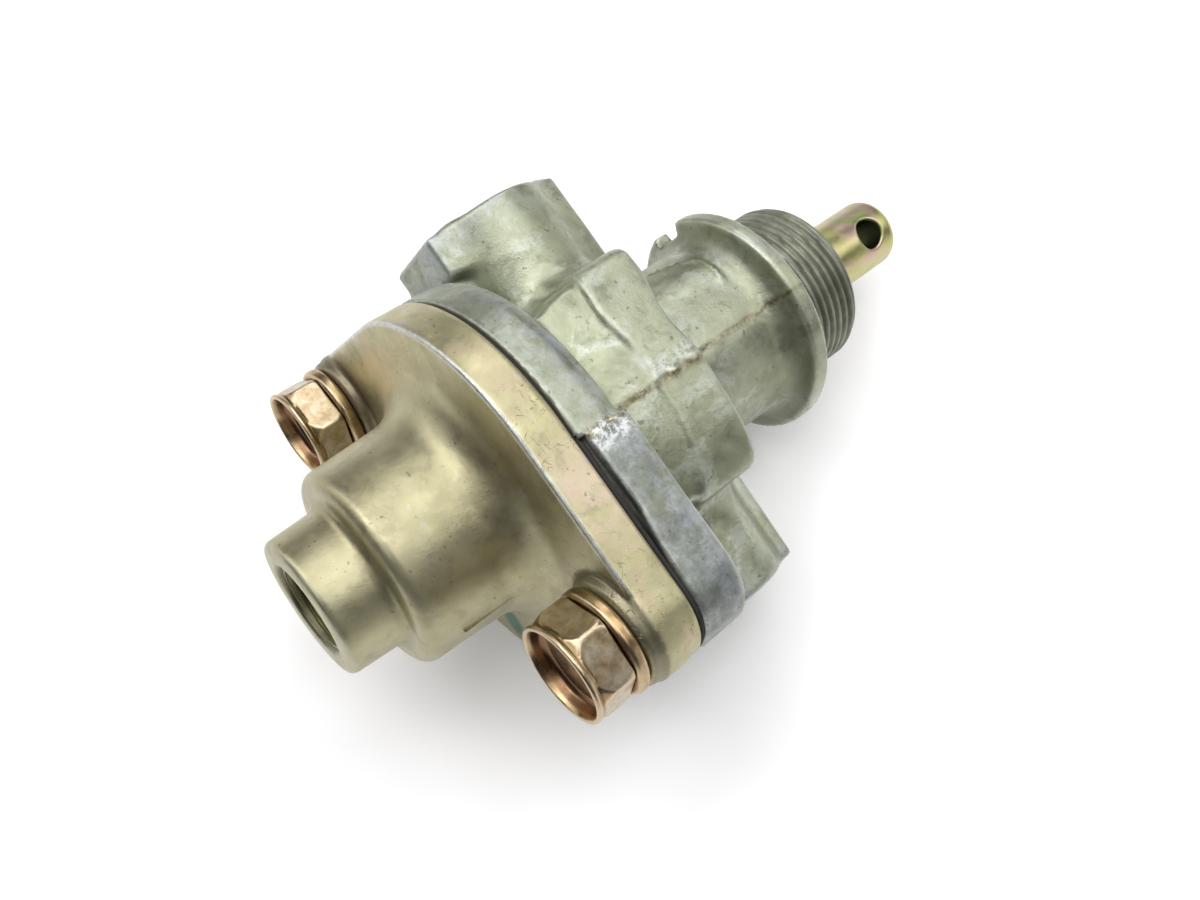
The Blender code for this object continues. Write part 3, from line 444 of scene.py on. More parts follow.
def gold_casting():
    """Chromated die casting: olive gold, rosier on the flange, scuffed to grey on edges, with
    painted shade in creases, on the screw pads' walls and in the port's mouth.
    """
    material, tree, main = shader("gold_chromate_casting", 0.85, 0.42)
    base = ramp(tree, noise(tree, 0.045, 3.0), [
        (0.28, (0.340, 0.300, 0.185)), (0.45, (0.395, 0.368, 0.225)),
        (0.60, (0.440, 0.412, 0.262)), (0.78, (0.395, 0.345, 0.230))])
    rosy = ramp(tree, noise(tree, 0.13, 4.0, 0.6, 0.5), [
        (0.34, (0.390, 0.365, 0.195)), (0.52, (0.460, 0.430, 0.250)),
        (0.60, (0.510, 0.420, 0.280)), (0.68, (0.430, 0.410, 0.230))])
    pink = ramp(tree, noise(tree, 0.28, 5.0, 0.65, 0.4), [
        (0.40, (0.480, 0.440, 0.270)), (0.54, (0.600, 0.460, 0.370)),
        (0.66, (0.520, 0.460, 0.330))])
    base = mix(tree, product(tree, mark(tree, "rosy"), 0.65), base, rosy)
    base = mix(tree, product(tree, mark(tree, "pink"), 0.8), base, pink)
    base = mix(tree, product(tree, mark(tree, "copper"), 0.7), base, (0.340, 0.235, 0.145))
    fine = noise(tree, 0.9, 6.0, 0.65)
    base = mix(tree, spread(tree, fine, 0.54, 0.70, 0.0, 0.30), base, (0.52, 0.49, 0.38))
    base = mix(tree, spread(tree, noise(tree, 0.45, 7.0, 0.75), 0.61, 0.66, 0.0, 0.45), base,
               (0.42, 0.435, 0.45))
    shade = spread(tree, noise(tree, 0.22, 6.0, 0.7, 0.5), 0.47, 0.36, 0.0, 0.35)
    base = mix(tree, shade, base, (0.235, 0.205, 0.130))
    worn = product(tree, spread(tree, mark(tree, "bend"), 0.7, 1.5), mark(tree, "rim"),
                   spread(tree, fine, 0.34, 0.54, 0.35, 1.0))
    base = mix(tree, worn, base, (0.60, 0.61, 0.59))
    # painted shade: concave creases, where the bend is negative, are darkened to dark olive brown
    base = mix(tree, spread(tree, mark(tree, "bend"), -0.2, -0.9, 0.0, 0.45), base,
               (0.20, 0.165, 0.085))
    lines = product(tree, wisps(tree, 0.45, 0.010), mark(tree, "rosy"),
                    spread(tree, noise(tree, 0.10, 2.0), 0.46, 0.60),
                    spread(tree, noise(tree, 0.8, 2.0), 0.46, 0.54))
    base = mix(tree, product(tree, lines, 0.45), base, (0.17, 0.145, 0.08))
    # painted shade on the walls of the raised screw pads, below the flange face
    base = mix(tree, product(tree, mark(tree, "pad_wall_shade"), 0.6), base, (0.150, 0.142, 0.105))
    base = mix(tree, product(tree, pits(tree, 1.3, 0.70, 0.74), 0.6), base, (0.15, 0.13, 0.09))
    # painted shade: the port's mouth and bore, inside 7 mm of the axis, made nearly black
    base = mix(tree, product(tree, mark(tree, "inner"), 0.85), base, (0.06, 0.058, 0.045))
    base = mix(tree, product(tree, mark(tree, "paint"), 0.8), base, (0.05, 0.20, 0.15))
    tree.links.new(base, main.inputs["Base Color"])
    rough = spread(tree, noise(tree, 0.35, 5.0), 0.3, 0.7, 0.34, 0.50)
    tree.links.new(rough, main.inputs["Roughness"])
    first = bump(tree, noise(tree, 0.6, 5.0, 0.6), 0.07, 0.75)
    first = bump(tree, lines, -0.06, 0.8, first)
    tree.links.new(bump(tree, noise(tree, 4.0, 3.0), 0.016, 0.7, first), main.inputs["Normal"])
    return material


def raw_casting():
    """Bare die casting: mottled grey-green, with frosted patches and brighter edges, and painted
    shade in creases, in the gap beside the gasket, on the flange wall's +x half, in the collar's
    fillet and in the bores.
    """
    material, tree, main = shader("raw_die_casting", 0.78, 0.45)
    base = ramp(tree, noise(tree, 0.075, 5.0, 0.60, 0.4), [
        (0.30, (0.200, 0.212, 0.136)), (0.44, (0.292, 0.310, 0.212)),
        (0.56, (0.370, 0.390, 0.280)), (0.72, (0.440, 0.460, 0.350))])
    patch = spread(tree, noise(tree, 0.16, 6.0, 0.70, 0.6), 0.53, 0.62, 0.0, 0.6)
    base = mix(tree, patch, base, (0.500, 0.528, 0.478))
    cold = product(tree, mark(tree, "cold"),
                   spread(tree, noise(tree, 0.3, 7.0, 0.75, 0.4), 0.42, 0.6, 0.0, 0.75))
    base = mix(tree, cold, base, (0.440, 0.478, 0.535))
    # steel-grey tone of the flange's side wall; where it is stronger, on the +x half turned away
    # from the light, it is painted shade
    steel_tone_and_shade = ramp(tree, noise(tree, 0.5, 6.0, 0.7), [(0.40, (0.130, 0.142, 0.136)),
                                                    (0.66, (0.330, 0.350, 0.355))])
    base = mix(tree, product(tree, mark(tree, "steel_tone_and_shade"), 0.8), base, steel_tone_and_shade)
    shade = spread(tree, noise(tree, 0.30, 6.0, 0.72, 0.5), 0.48, 0.36, 0.0, 0.55)
    base = mix(tree, shade, base, (0.190, 0.205, 0.140))
    fine = noise(tree, 1.1, 5.0, 0.7)
    worn = product(tree, spread(tree, mark(tree, "bend"), 0.45, 1.6),
                   spread(tree, fine, 0.38, 0.60, 0.2, 1.0), 0.5)
    base = mix(tree, worn, base, (0.54, 0.56, 0.51))
    # painted shade: concave creases, where the bend is negative, are darkened
    base = mix(tree, spread(tree, mark(tree, "bend"), -0.25, -1.1, 0.0, 0.5), base,
               (0.14, 0.145, 0.095))
    base = mix(tree, product(tree, mark(tree, "shaded"), 0.6), base, (0.125, 0.130, 0.090))
    crust = ramp(tree, noise(tree, 0.5, 3.0), [(0.40, (0.150, 0.130, 0.070)),
                                              (0.62, (0.430, 0.390, 0.260))])
    base = mix(tree, product(tree, mark(tree, "flash"), spread(tree, fine, 0.36, 0.50, 0.0, 1.0)),
               base, crust)
    frost = product(tree, mark(tree, "pale"),
                    spread(tree, noise(tree, 1.3, 6.0, 0.75), 0.46, 0.54, 0.0, 0.85))
    base = mix(tree, frost, base, (0.66, 0.68, 0.68))
    base = mix(tree, product(tree, pits(tree, 1.1, 0.70, 0.74), 0.6), base, (0.11, 0.115, 0.08))
    # painted shade: the strip of the gap beside the gasket, made nearly black
    base = mix(tree, mark(tree, "gap"), base, (0.085, 0.083, 0.072))
    tree.links.new(base, main.inputs["Base Color"])
    rough = spread(tree, noise(tree, 0.3, 5.0, 0.6), 0.3, 0.7, 0.32, 0.54)
    tree.links.new(rough, main.inputs["Roughness"])
    first = bump(tree, noise(tree, 0.40, 6.0, 0.62), 0.12, 0.75)
    tree.links.new(bump(tree, noise(tree, 3.2, 3.0), 0.022, 0.7, first), main.inputs["Normal"])
    return material


def gold_zinc():
    """Zinc plate with a copper-gold chromate, rubbed pale on the flats, with painted shade in
    creases and in the heads' dishes.
    """
    material, tree, main = shader("copper_gold_zinc", 1.0, 0.30)
    base = ramp(tree, noise(tree, 0.22, 3.0, 0.55, 0.5), [
        (0.28, (0.290, 0.180, 0.088)), (0.42, (0.400, 0.262, 0.132)),
        (0.54, (0.445, 0.335, 0.180)), (0.66, (0.420, 0.275, 0.178)),
        (0.80, (0.300, 0.280, 0.150))])
    flats = ramp(tree, noise(tree, 0.55, 6.0, 0.72), [
        (0.36, (0.360, 0.268, 0.160)), (0.48, (0.485, 0.385, 0.245)),
        (0.60, (0.570, 0.505, 0.385)), (0.72, (0.475, 0.395, 0.268))])
    base = mix(tree, product(tree, mark(tree, "flat"), 0.9), base, flats)
    base = mix(tree, spread(tree, mark(tree, "bend"), 0.5, 2.0, 0.0, 0.45), base,
               (0.62, 0.53, 0.38))
    # painted shade: concave creases, where the bend is negative, are darkened
    base = mix(tree, spread(tree, mark(tree, "bend"), -0.5, -2.0, 0.0, 0.6), base,
               (0.10, 0.06, 0.03))
    # painted shade in the head's dish, strongest on its wall
    base = mix(tree, product(tree, mark(tree, "dish"), 0.75), base, (0.200, 0.105, 0.062))
    tree.links.new(base, main.inputs["Base Color"])
    rough = spread(tree, noise(tree, 0.8, 5.0), 0.3, 0.7, 0.25, 0.38)
    rough = math_node(tree, "ADD", rough, product(tree, mark(tree, "flat"), 0.04))
    tree.links.new(rough, main.inputs["Roughness"])
    tree.links.new(bump(tree, noise(tree, 1.4, 5.0, 0.6), 0.025, 0.6), main.inputs["Normal"])
    return material


def yellow_zinc():
    """Zinc plate with an iridescent yellow chromate, with painted shade in the cross-hole."""
    material, tree, main = shader("yellow_zinc_stem", 1.0, 0.34)
    base = ramp(tree, noise(tree, 0.10, 2.0, 0.5, 0.8), [
        (0.32, (0.375, 0.375, 0.145)), (0.44, (0.470, 0.460, 0.190)),
        (0.53, (0.520, 0.470, 0.250)), (0.60, (0.560, 0.400, 0.340)),
        (0.70, (0.380, 0.440, 0.190))])
    # painted shade inside the cross-hole
    base = mix(tree, mark(tree, "hole"), base, (0.050, 0.070, 0.035))
    tree.links.new(base, main.inputs["Base Color"])
    rough = spread(tree, noise(tree, 0.7, 4.0), 0.3, 0.7, 0.32, 0.46)
    tree.links.new(rough, main.inputs["Roughness"])
    tree.links.new(bump(tree, noise(tree, 1.2, 4.0), 0.015, 0.5), main.inputs["Normal"])
    return material


def dark_thread():
    """The collar's thread: the bare casting, darkened."""
    material, tree, main = shader("darker_thread_casting", 0.75, 0.50)
    base = ramp(tree, noise(tree, 0.3, 5.0, 0.6), [
        (0.35, (0.170, 0.176, 0.136)), (0.55, (0.240, 0.248, 0.192)),
        (0.75, (0.320, 0.336, 0.264))])
    tree.links.new(base, main.inputs["Base Color"])
    tree.links.new(bump(tree, noise(tree, 1.5, 5.0), 0.03, 0.6), main.inputs["Normal"])
    return material


def plain(name, colour, metallic, roughness):
    """One colour, a little uneven."""
    material, tree, main = shader(name, metallic, roughness)
    low = tuple(c * 0.8 for c in colour)
    high = tuple(min(1.0, c * 1.15) for c in colour)
    tree.links.new(ramp(tree, noise(tree, 0.4, 4.0), [(0.35, low), (0.65, high)]),
                   main.inputs["Base Color"])
    tree.links.new(bump(tree, noise(tree, 1.5, 4.0), 0.02, 0.6), main.inputs["Normal"])
    return material


GOLD_CASTING = gold_casting()
RAW_CASTING = raw_casting()
GOLD_ZINC = gold_zinc()
STEM_ZINC = yellow_zinc()
DARK_THREAD = dark_thread()
RUBBER = plain("black_rubber", (0.02, 0.02, 0.02), 0.0, 0.7)
GASKET = plain("gasket_sheet", (0.025, 0.024, 0.022), 0.0, 0.85)
SPRING_STEEL = plain("spring_steel", (0.42, 0.42, 0.43), 1.0, 0.34)
ACETAL = plain("bush_acetal", (0.70, 0.69, 0.62), 0.0, 0.45)


# Exhaust cover

def make_cover():
    g = Grid((-31.6, -28.2, -0.9), (31.6, 28.2, 31.9), 0.42)
    x, y, z = g.x, g.y, g.z
    rho = np.hypot(x, y)
    flange = extruded(lobes(x, y, *COVER_OUTLINE), z, COVER_FACE_Z, 31.0, 0.5)
    dome = extruded(rho - np.interp(z, (8.0, 12, 23, 30), (14.3, 14.4, 14.9, 15.2)),
                    z, 8.0, 30.5, 1.9)
    solid = join(flange, dome, 5.6)
    stub = extruded(rho - np.interp(z, (0, 8.0), (9.78, 10.1)), z, 0.0, 14.0, 0.9)
    solid = join(solid, stub, 1.5)
    solid = solid + 0.06 * wobble(x, y, z, 7.0, 4)
    # room for the screw heads, and the raised pads that their washers stand on
    for cx, cy in SCREWS.values():
        spot = np.hypot(x - cx, y - cy)
        solid = cut(solid, meet(spot - 7.9, z - COVER_FACE_Z), 0.3)
        solid = join(solid, extruded(spot - 7.5, z, 23.5, 29.0, 0.8), 0.9)
        solid = cut(solid, spot - SCREW_HOLE)
    # a thin fin of flash along the dome's lower side
    fin = meet(meet(np.abs(x - 12.0) - 1.6, np.abs(y + 7.0) - 0.2), np.abs(z - 17.2) - 4.4, 0.1)
    solid = join(solid, fin, 0.3)
    inside = profile(rho, z, [(-1, 6.75), (0, 6.6), (0.65, 6.22), (7.6, 6.22), (8.9, 5.0),
                              (13.9, 5.0), (30, 5.0)])
    chamber = meet(profile(rho, z, [(13.4, 11.2), (22.9, 11.2), (26.7, 15.0), (33, 15.0)]),
                   13.5 - z, 1.0)
    seat = meet(rho - 7.0, z - 15.0, 0.2)
    solid = cut(solid, inside, 0.3)
    solid = cut(solid, cut(chamber, meet(seat, 4.9 - rho)))
    solid = cut(solid, meet(rho - 5.0, z - 20))

    def marks(px, py, pz):
        reach = np.hypot(px, py)
        out = np.clip((reach - 19) / 6, 0, 1)
        edge = lobes(px, py, *COVER_OUTLINE) > -1.2
        front = edge * (np.abs(pz - 25.4) < 0.9) + 0.45 * (pz < 1.2) * (reach > 8)
        dab = np.clip(2.0 - 1.5 * np.hypot((px - 17.8) / 2.8, (py - 14.1) / 2.2), 0, 1)
        screws = np.minimum(*[np.hypot(px - cx, py - cy) for cx, cy in SCREWS.values()])
        return {"rosy": np.maximum(out, np.clip((pz - 25.5) / 1.0, 0, 1)),
                "copper": np.clip((12 - screws) / 4, 0, 1) * (pz < 25.6) * (px < 0),
                "rim": np.clip(front, 0, 1),
                # where shade is painted inside the port's bore
                "inner": np.clip((7.0 - reach) / 0.8, 0, 1),
                "pink": np.exp(-((px - 7.5) / 6.0) ** 2) * (py < 0) * (pz > 25.8) * (reach > 22),
                # where shade is painted: a ring on the screw pads' walls, below the flange face
                "pad_wall_shade": (screws > 7.1) * (screws < 8.4) * (pz < 25.4),
                "paint": dab * (np.abs(pz - 24.8) < 1.5)}

    return piece_from("cover_casting", solid, g, GOLD_CASTING, marks)


cover = make_cover()
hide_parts("exhaust_cover")
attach(cover, "housing")

def port_thread(name, depth, material, move=None):
    """A port's thread, which starts behind the chamfer of its mouth."""
    return threaded(name, 0.7, depth, 5.75, 6.25, THREAD_PITCH, 6.5, material, inside=True,
                    move=move)


exhaust_thread = port_thread("exhaust_port_thread", 7.9, GOLD_CASTING)
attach(exhaust_thread, "housing")


# Valve body

def past_seam(x, y):
    """How far a point lies beyond the parting line."""
    return x + SEAM_SLOPE * y


def gap_edge(x):
    """How far the gap reaches that opens beside the gasket on the lower half."""
    return np.interp(x, (0, 1.5, 12, 20), (31.4, 32.15, 32.5, 31.5))


def body_flange(x, y, z):
    """The two halves of the die don't quite meet: they differ beside the parting line."""
    outline = lobes(x, y, *BODY_OUTLINE)
    left = meet(extruded(outline, z, 31.42, 38.5, 0.2), extruded(outline, z, 28.0, 38.6, 3.3))
    left = join(left, meet(extruded(outline, z, 31.22, 34.0, 0.15), -0.45 - outline))
    right = meet(extruded(outline - 0.12, z, 31.55, 38.75, 0.4),
                 extruded(outline - 0.12, z, 28.0, 38.8, 1.1))
    return np.where(past_seam(x, y) < 0, left, right)


def body_outside(x, y, z):
    """Flange, waist, chest, neck, collar and port bosses, as smooth as cast."""
    solid = body_flange(x, y, z)
    # a rolled waist, then the chest's flat face, whose edges wander
    crown = 21.9 - 1.5 * (x / 12.4) ** 2
    box = meet(rounded_box(x - 0.45, y, 17.05, 21.9, 6.0), np.abs(y) - crown, 1.2)
    roll = np.interp(z, (39, 40.5, 42, 43.5, 45, 46.5, 48),
                     (-2.0, -1.9, -1.5, -1.0, -0.8, -0.8, -0.9))
    roll = roll * (0.75 + 0.6 * np.clip((-1 - x) / 7, 0, 1))
    waist = meet(meet(box - roll.astype(np.float32), z - 50, 0.5), 36 - z)
    solid = join(solid, waist, 2.6)
    front = np.interp(x, (-17, -13.3, -9.6, -6.2, -3.9, -0.9, 1.7, 6.4, 11.2, 14.7, 18),
                      (47.8, 46.9, 46.3, 46.7, 47.3, 47.4, 47.0, 47.1, 46.5, 45.3, 44.6))
    back = np.interp(x, (-17, -14.8, -11, -7, -4.3, -1.9, 1.6, 6, 12, 16.4),
                     (56.3, 56.2, 55.7, 54.6, 54.3, 54.7, 55.3, 55.1, 55.1, 54.7))
    chest = meet(meet(box, front - z, 0.45), z - back, 0.9)
    solid = join(solid, chest, 0.9)
    solid = join(solid, extruded(np.hypot(x, y) - 14.0, z, 50.0, 78.0), 2.4)
    collar = extruded(np.hypot(x, y) - 17.85, z, 75.3, COLLAR_FACE_Z, 0.4)
    solid = meet(join(solid, collar, 3.8), z - COLLAR_FACE_Z, 0.3)
    for port in PORTS.values():
        away = np.hypot(y, z - port.z)
        boss = extruded(away - 9.85, x * port.side, 4.0, BOSS_END, 0.6)
        rib = rounded_box(y, z - port.z, 4.9, 11.25, 0.6)
        reach = extruded(rib, x * port.side, 4.0, BOSS_END, 0.6)
        if port is PORTS["delivery"]:
            solid = join(solid, join(boss, reach, 0.7), 4.2)
            continue
        # the supply boss: its front rib leans towards the flange and its outer edge stops short
        lean = meet(39.6 - 0.24 * (y + 6) - z, z - port.z)
        low = meet(meet(lean, meet(-3.4 - y, y - 4.6), 0.6), x + 4.0)
        outer = meet(meet(lean, meet(-5.9 - y, y - 4.6), 0.6), x + 26.2, 0.3)
        low = meet(np.minimum(low, outer), -x - BOSS_END, 0.5)
        solid = join(solid, boss, 4.2)
        solid = join(solid, np.minimum(low, meet(reach, port.z - z)), 2.0)
    return solid + 0.08 * wobble(x, y, z, 8.0, 11) + 0.03 * wobble(x, y, z, 2.6, 5)


def add_casting_marks(solid, x, y, z):
    """What the die left: the parting line, a gap, a dimple and a crust."""
    beyond = past_seam(x, y)
    # the parting line: a ragged ridge with a crack along it
    outer = np.hypot(x, y) > 12.8
    wander = 0.24 * wobble(0, y, z, 2.2, 9) + 0.12 * wobble(0, y, z, 0.9, 3)
    most = np.interp(z, (31, 38, 40, 46, 49, 55, 57, 78),
                     (0.35, 0.3, 0.15, 0.3, 0.6, 0.6, 0.25, 0.25))
    height = most * np.clip(0.45 + 0.65 * wobble(0 * x + 3, y * 0.6, z * 1.5, 0.8, 21), 0, 1.1)
    broad = np.interp(z, (31, 39, 41, 45, 48, 56, 58, 78),
                      (0.3, 0.3, 0.75, 0.75, 0.5, 0.6, 0.35, 0.2))
    ridge = meet(solid - height, np.abs(beyond - wander + 0.1) - broad.astype(np.float32))
    solid = np.where(outer, join(solid, ridge, 0.12), solid)
    width = 0.03 + 0.10 * np.clip(wobble(0, y, z, 1.3, 33), -0.4, 1)
    crack = meet(np.abs(beyond - wander - broad * 0.5) - width, -solid - 0.35)
    solid = np.where(outer, cut(solid, crack), solid)
    # the gap that opens beside the gasket on the lower half
    outline = lobes(x, y, *BODY_OUTLINE)
    slot = meet(meet(z - gap_edge(x), -0.7 - outline), -beyond - 0.1)
    solid = np.where(y < 0, cut(solid, slot, 0.2), solid)
    # a dimple in the chest
    solid = cut(solid, np.hypot(np.hypot(x + 7.4, z - 51.5), y + 22.2) - 1.0, 0.15)
    # a raised crust where the neck meets the collar's fillet
    around = np.degrees(np.arctan2(y, x)) % 360
    arch = np.interp(around, (206, 212, 216, 222, 227, 238, 250),
                     (63, 66.1, 68.6, 70.3, 71, 71, 70.4))
    rim = meet(meet(np.abs(z - arch) - 0.3, solid - 0.35), (np.abs(around - 228) - 19) * 0.2)
    return join(solid, rim, 0.25)


def cut_body(solid, x, y, z):
    """The collar's notch, the bore with its inlet seat, screw holes, ports and passages."""
    rho = np.hypot(x, y)
    notch_angle = math.radians(183.5)
    nx = x * math.cos(notch_angle) + y * math.sin(notch_angle)
    ny = -x * math.sin(notch_angle) + y * math.cos(notch_angle)
    notch = meet(meet(np.abs(ny) - 3.1, 15.7 - nx, 0.5), 72.0 - z)
    solid = cut(solid, notch, 0.2)

    inside = profile(rho, z, [(31, 16.0), (46.55, 16.0), (46.65, 5.8), (49.35, 5.8),
                              (49.45, 9.6), (57.9, 9.6), (58.1, 8.2), (80, 8.2)])
    solid = cut(solid, inside)
    seat = meet(np.abs(rho - 6.7) - 0.9, np.abs(z - 45.9) - 0.8, 0.2)
    solid = join(solid, seat)
    for cx, cy in SCREWS.values():
        solid = cut(solid, np.hypot(x - cx, y - cy) - SCREW_HOLE)
    for port in PORTS.values():
        away = np.hypot(y, z - port.z)
        along = x * port.side
        bore = profile(away, along, [(19.0, 6.22), (31.7, 6.22), (BOSS_END, 6.7), (34, 6.8)])
        solid = cut(solid, meet(bore, 19.4 - along), 0.15)
        passage = meet(np.hypot(y, z - port.passage_z) - 3.2, port.passage_start - along)
        solid = cut(solid, passage)
    return solid


def body_marks(x, y, z):
    """Where the casting is crusted, frosted, cold grey or steel grey, and where shade is painted:
    the gap beside the gasket, the flange wall's +x half, the collar's fillet and the bores.
    """
    apart = past_seam(x, y)
    reach = np.hypot(x, y)
    narrow = np.interp(z, (40, 44, 56, 60), (0.5, 0.5, 0.45, 0.28))
    near = np.clip(1.6 - np.abs(apart - 0.1) / narrow, 0, 1) * (reach > 12.5)
    pale = (near + np.clip(1.3 - np.abs(apart - 1.6) / 1.6, 0, 1)) * np.clip(40 - z, 0, 1)
    pale = pale + 0.6 * np.clip(1.4 - np.abs(apart + 1.6) / 1.2, 0, 1) * (z > 47) * (z < 56)
    rear = np.clip(1.5 - np.abs(z - 37.5) / 2.5, 0, 1) * (reach > 21)
    mouth = np.clip((np.abs(x) - 27) / 4, 0, 1) * 0.6
    # where shade is painted in the gap that opens beside the gasket on the lower half
    gap = ((apart > 0) * (y < 0) * (reach > 16)
           * np.clip((gap_edge(x) + 0.15 - z) / 0.2, 0, 1))
    # the flange's side wall: 0.4 of a steel-grey tone on the -x half and the full amount on the +x
    # half, the extra being painted shade on the half turned away from the light
    wall = ((0.4 + 0.6 * (apart > 0)) * np.clip((38.6 - z) / 1.5, 0, 1)
            * (lobes(x, y, *BODY_OUTLINE) > -0.8))
    fillet = np.clip(1 - np.abs(z - 74.4) / 2.2, 0, 1) * np.clip((17.6 - reach) / 0.8, 0, 1)
    bores = np.minimum(*[np.hypot(y, z - port.z) for port in PORTS.values()])
    hidden = (reach < 12) * (z < 50) + (np.abs(x) > 18) * (bores < 6.0)
    return {"flash": near, "pale": np.clip(pale, 0, 1), "cold": np.clip(rear + mouth, 0, 1),
            "gap": np.clip(gap, 0, 1), "steel_tone_and_shade": wall,
            "shaded": np.clip(fillet + hidden, 0, 1)}


def make_body():
    g = Grid((-33.4, -28.2, 31.0), (33.4, 28.2, 79.0), 0.48)
    solid = body_outside(g.x, g.y, g.z)
    solid = add_casting_marks(solid, g.x, g.y, g.z)
    solid = cut_body(solid, g.x, g.y, g.z)
    return piece_from("body_casting", solid, g, RAW_CASTING, body_marks)


body = make_body()
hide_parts("valve_body")
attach(body, "housing")

collar_thread = threaded("collar_thread", 78.0, 90.55, 13.35, 12.7, THREAD_PITCH, 8.2, DARK_THREAD,
                         fade=1.2, wear=0.35)
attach(collar_thread, "housing")


def into_port(port):
    """What lays a thread along Z into a side port, its low end at the boss's face."""
    def move(x, y, z):
        return np.stack([port.side * (BOSS_END - z), -port.side * y, port.z + x], axis=1)
    return move


for name, port in PORTS.items():
    thread = port_thread(name + "_port_thread", 11.5, RAW_CASTING, into_port(port))
    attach(thread, "housing")


# Gasket

def make_gasket():
    """A flat sheet, a little narrower on the side where the body's lip covers it."""
    g = Grid((-31.4, -28.0, 30.6), (31.4, 28.0, 32.2), 0.28)
    x, y, z = g.x, g.y, g.z
    outline = lobes(x, y, *GASKET_OUTLINE)
    outline = np.where(past_seam(x, y) < 0.3, outline + 0.35, outline)
    solid = extruded(outline, z, 31.0, 31.6, 0.1)
    solid = cut(solid, np.hypot(x, y) - 16.3)
    for cx, cy in SCREWS.values():
        solid = cut(solid, np.hypot(x - cx, y - cy) - SCREW_HOLE)
    return piece_from("gasket_sheet", solid, g, GASKET)


gasket = make_gasket()
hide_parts("cover_gasket")
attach(gasket, "housing")


# Cap screws and their washers

def make_screw(name, centre, turn):
    """An indented hex head: its rounded flats stop short of a round rim and a round base."""
    g = Grid((-7.8, -7.8, -0.5), (7.8, 7.8, 6.2), 0.14)
    x, y, z = g.x, g.y, g.z
    rho = np.hypot(x, y)
    hexagon = -99.0
    for side in range(6):
        angle = turn + side * math.pi / 3
        hexagon = np.maximum(hexagon, x * math.cos(angle) + y * math.sin(angle) - 6.3)
    barrel = profile(rho, z, [(-1, 6.35), (0.0, 6.75), (0.45, 6.8), (0.95, 6.5), (1.5, 6.85),
                              (2.3, 7.2), (4.2, 7.22), (5.0, 7.15), (5.7, 6.95), (9, 6.9)])
    # near the rim the flats give way to the barrel
    flats = hexagon + np.clip(1.15 - z, 0, 1) * -9
    head = meet(flats, barrel, 0.12)
    head = meet(head, np.abs(z - 2.87) - 2.85, 0.25)
    dish = profile(rho, z, [(-1, 6.3), (0.1, 6.15), (0.6, 5.95), (1.7, 5.7), (2.3, 5.2), (9, 5.0)])
    dish = meet(dish, z - 2.5 + 0.2 * (rho / 5.0) ** 2, 0.35)

    def marks(px, py, pz):
        reach = np.hypot(px, py)
        on_flat = sample(hexagon - barrel, g, np.stack([px, py, pz], axis=1))
        flat = np.clip(0.5 + 4.0 * (on_flat + 0.05), 0, 1) * (reach > 6.0)
        # where shade is painted in the dish: fully on its wall, a quarter as much on its floor
        in_dish = np.clip((pz - 0.5) / 0.4, 0, 1) * np.clip((6.3 - reach) / 0.2, 0, 1)
        return {"flat": flat * np.clip((pz - 1.2) / 0.4, 0, 1),
                "dish": in_dish * np.clip((reach - 4.7) / 0.3, 0.25, 1) * (pz < 3.4)}

    return piece_from(name, cut(head, dish, 0.15), g, GOLD_ZINC, marks, (*centre, 15.7))


def make_shank(name, centre):
    """The screw's threaded shank, from under its washer to the body flange's rear."""
    def move(x, y, z):
        return np.stack([x + centre[0], y + centre[1], z + 20.8], axis=1)
    return threaded(name, 0.0, 17.4, 3.92, 3.35, 1.411, 0.05, GOLD_ZINC, steps=64, move=move)


def make_washer(name, centre, gap_angle):
    """A split washer, its gap cut at a slant."""
    g = Grid((-7.9, -7.9, -0.5), (7.9, 7.9, 2.9), 0.16)
    x, y, z = g.x, g.y, g.z
    rho = np.hypot(x, y)
    ring = extruded(np.abs(rho - 5.75) - 1.5, z, 0.0, 1.75, 0.55)
    along = x * math.cos(gap_angle) + y * math.sin(gap_angle)
    across = -x * math.sin(gap_angle) + y * math.cos(gap_angle) + 0.5 * (z - 0.9)
    ring = cut(ring, meet(np.abs(across) - 0.4, -along), 0.1)
    return piece_from(name, ring, g, GOLD_ZINC, shift=(*centre, 21.55))


for key, centre in SCREWS.items():
    screw = make_screw("screw_head_" + key, centre, math.radians(36 if key == "lower" else 19))
    shank = make_shank("screw_shank_" + key, centre)
    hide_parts("cap_screw_" + key)
    washer = make_washer("split_washer_" + key, centre, math.radians(75))
    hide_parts("lock_washer_" + key)
    for item in (screw, shank, washer):
        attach(item, "housing")


# Plunger

def make_stem():
    """The part of the plunger that shows, with its cross-hole."""
    g = Grid((-6.1, -6.1, 83.0), (6.1, 6.1, 111.6), 0.17)
    x, y, z = g.x, g.y, g.z
    stem = extruded(np.hypot(x, y) - 5.6, z, 70.0, 111.0, 1.9)
    stem = meet(stem, 84.0 - z)

    def from_pin(px, py, pz):
        across = px * math.cos(PIN_HOLE_ANGLE) + py * math.sin(PIN_HOLE_ANGLE)
        return np.hypot(across, pz - PIN_HOLE_Z)

    def marks(px, py, pz):
        # where shade is painted inside the pin's cross-hole
        inside = np.clip((2.75 - from_pin(px, py, pz)) / 0.4, 0, 1)
        return {"hole": inside * (np.hypot(px, py) < 5.45)}

    stem = cut(stem, from_pin(x, y, z) - 2.4, 0.55)
    return piece_from("plunger_stem", stem, g, STEM_ZINC, marks)


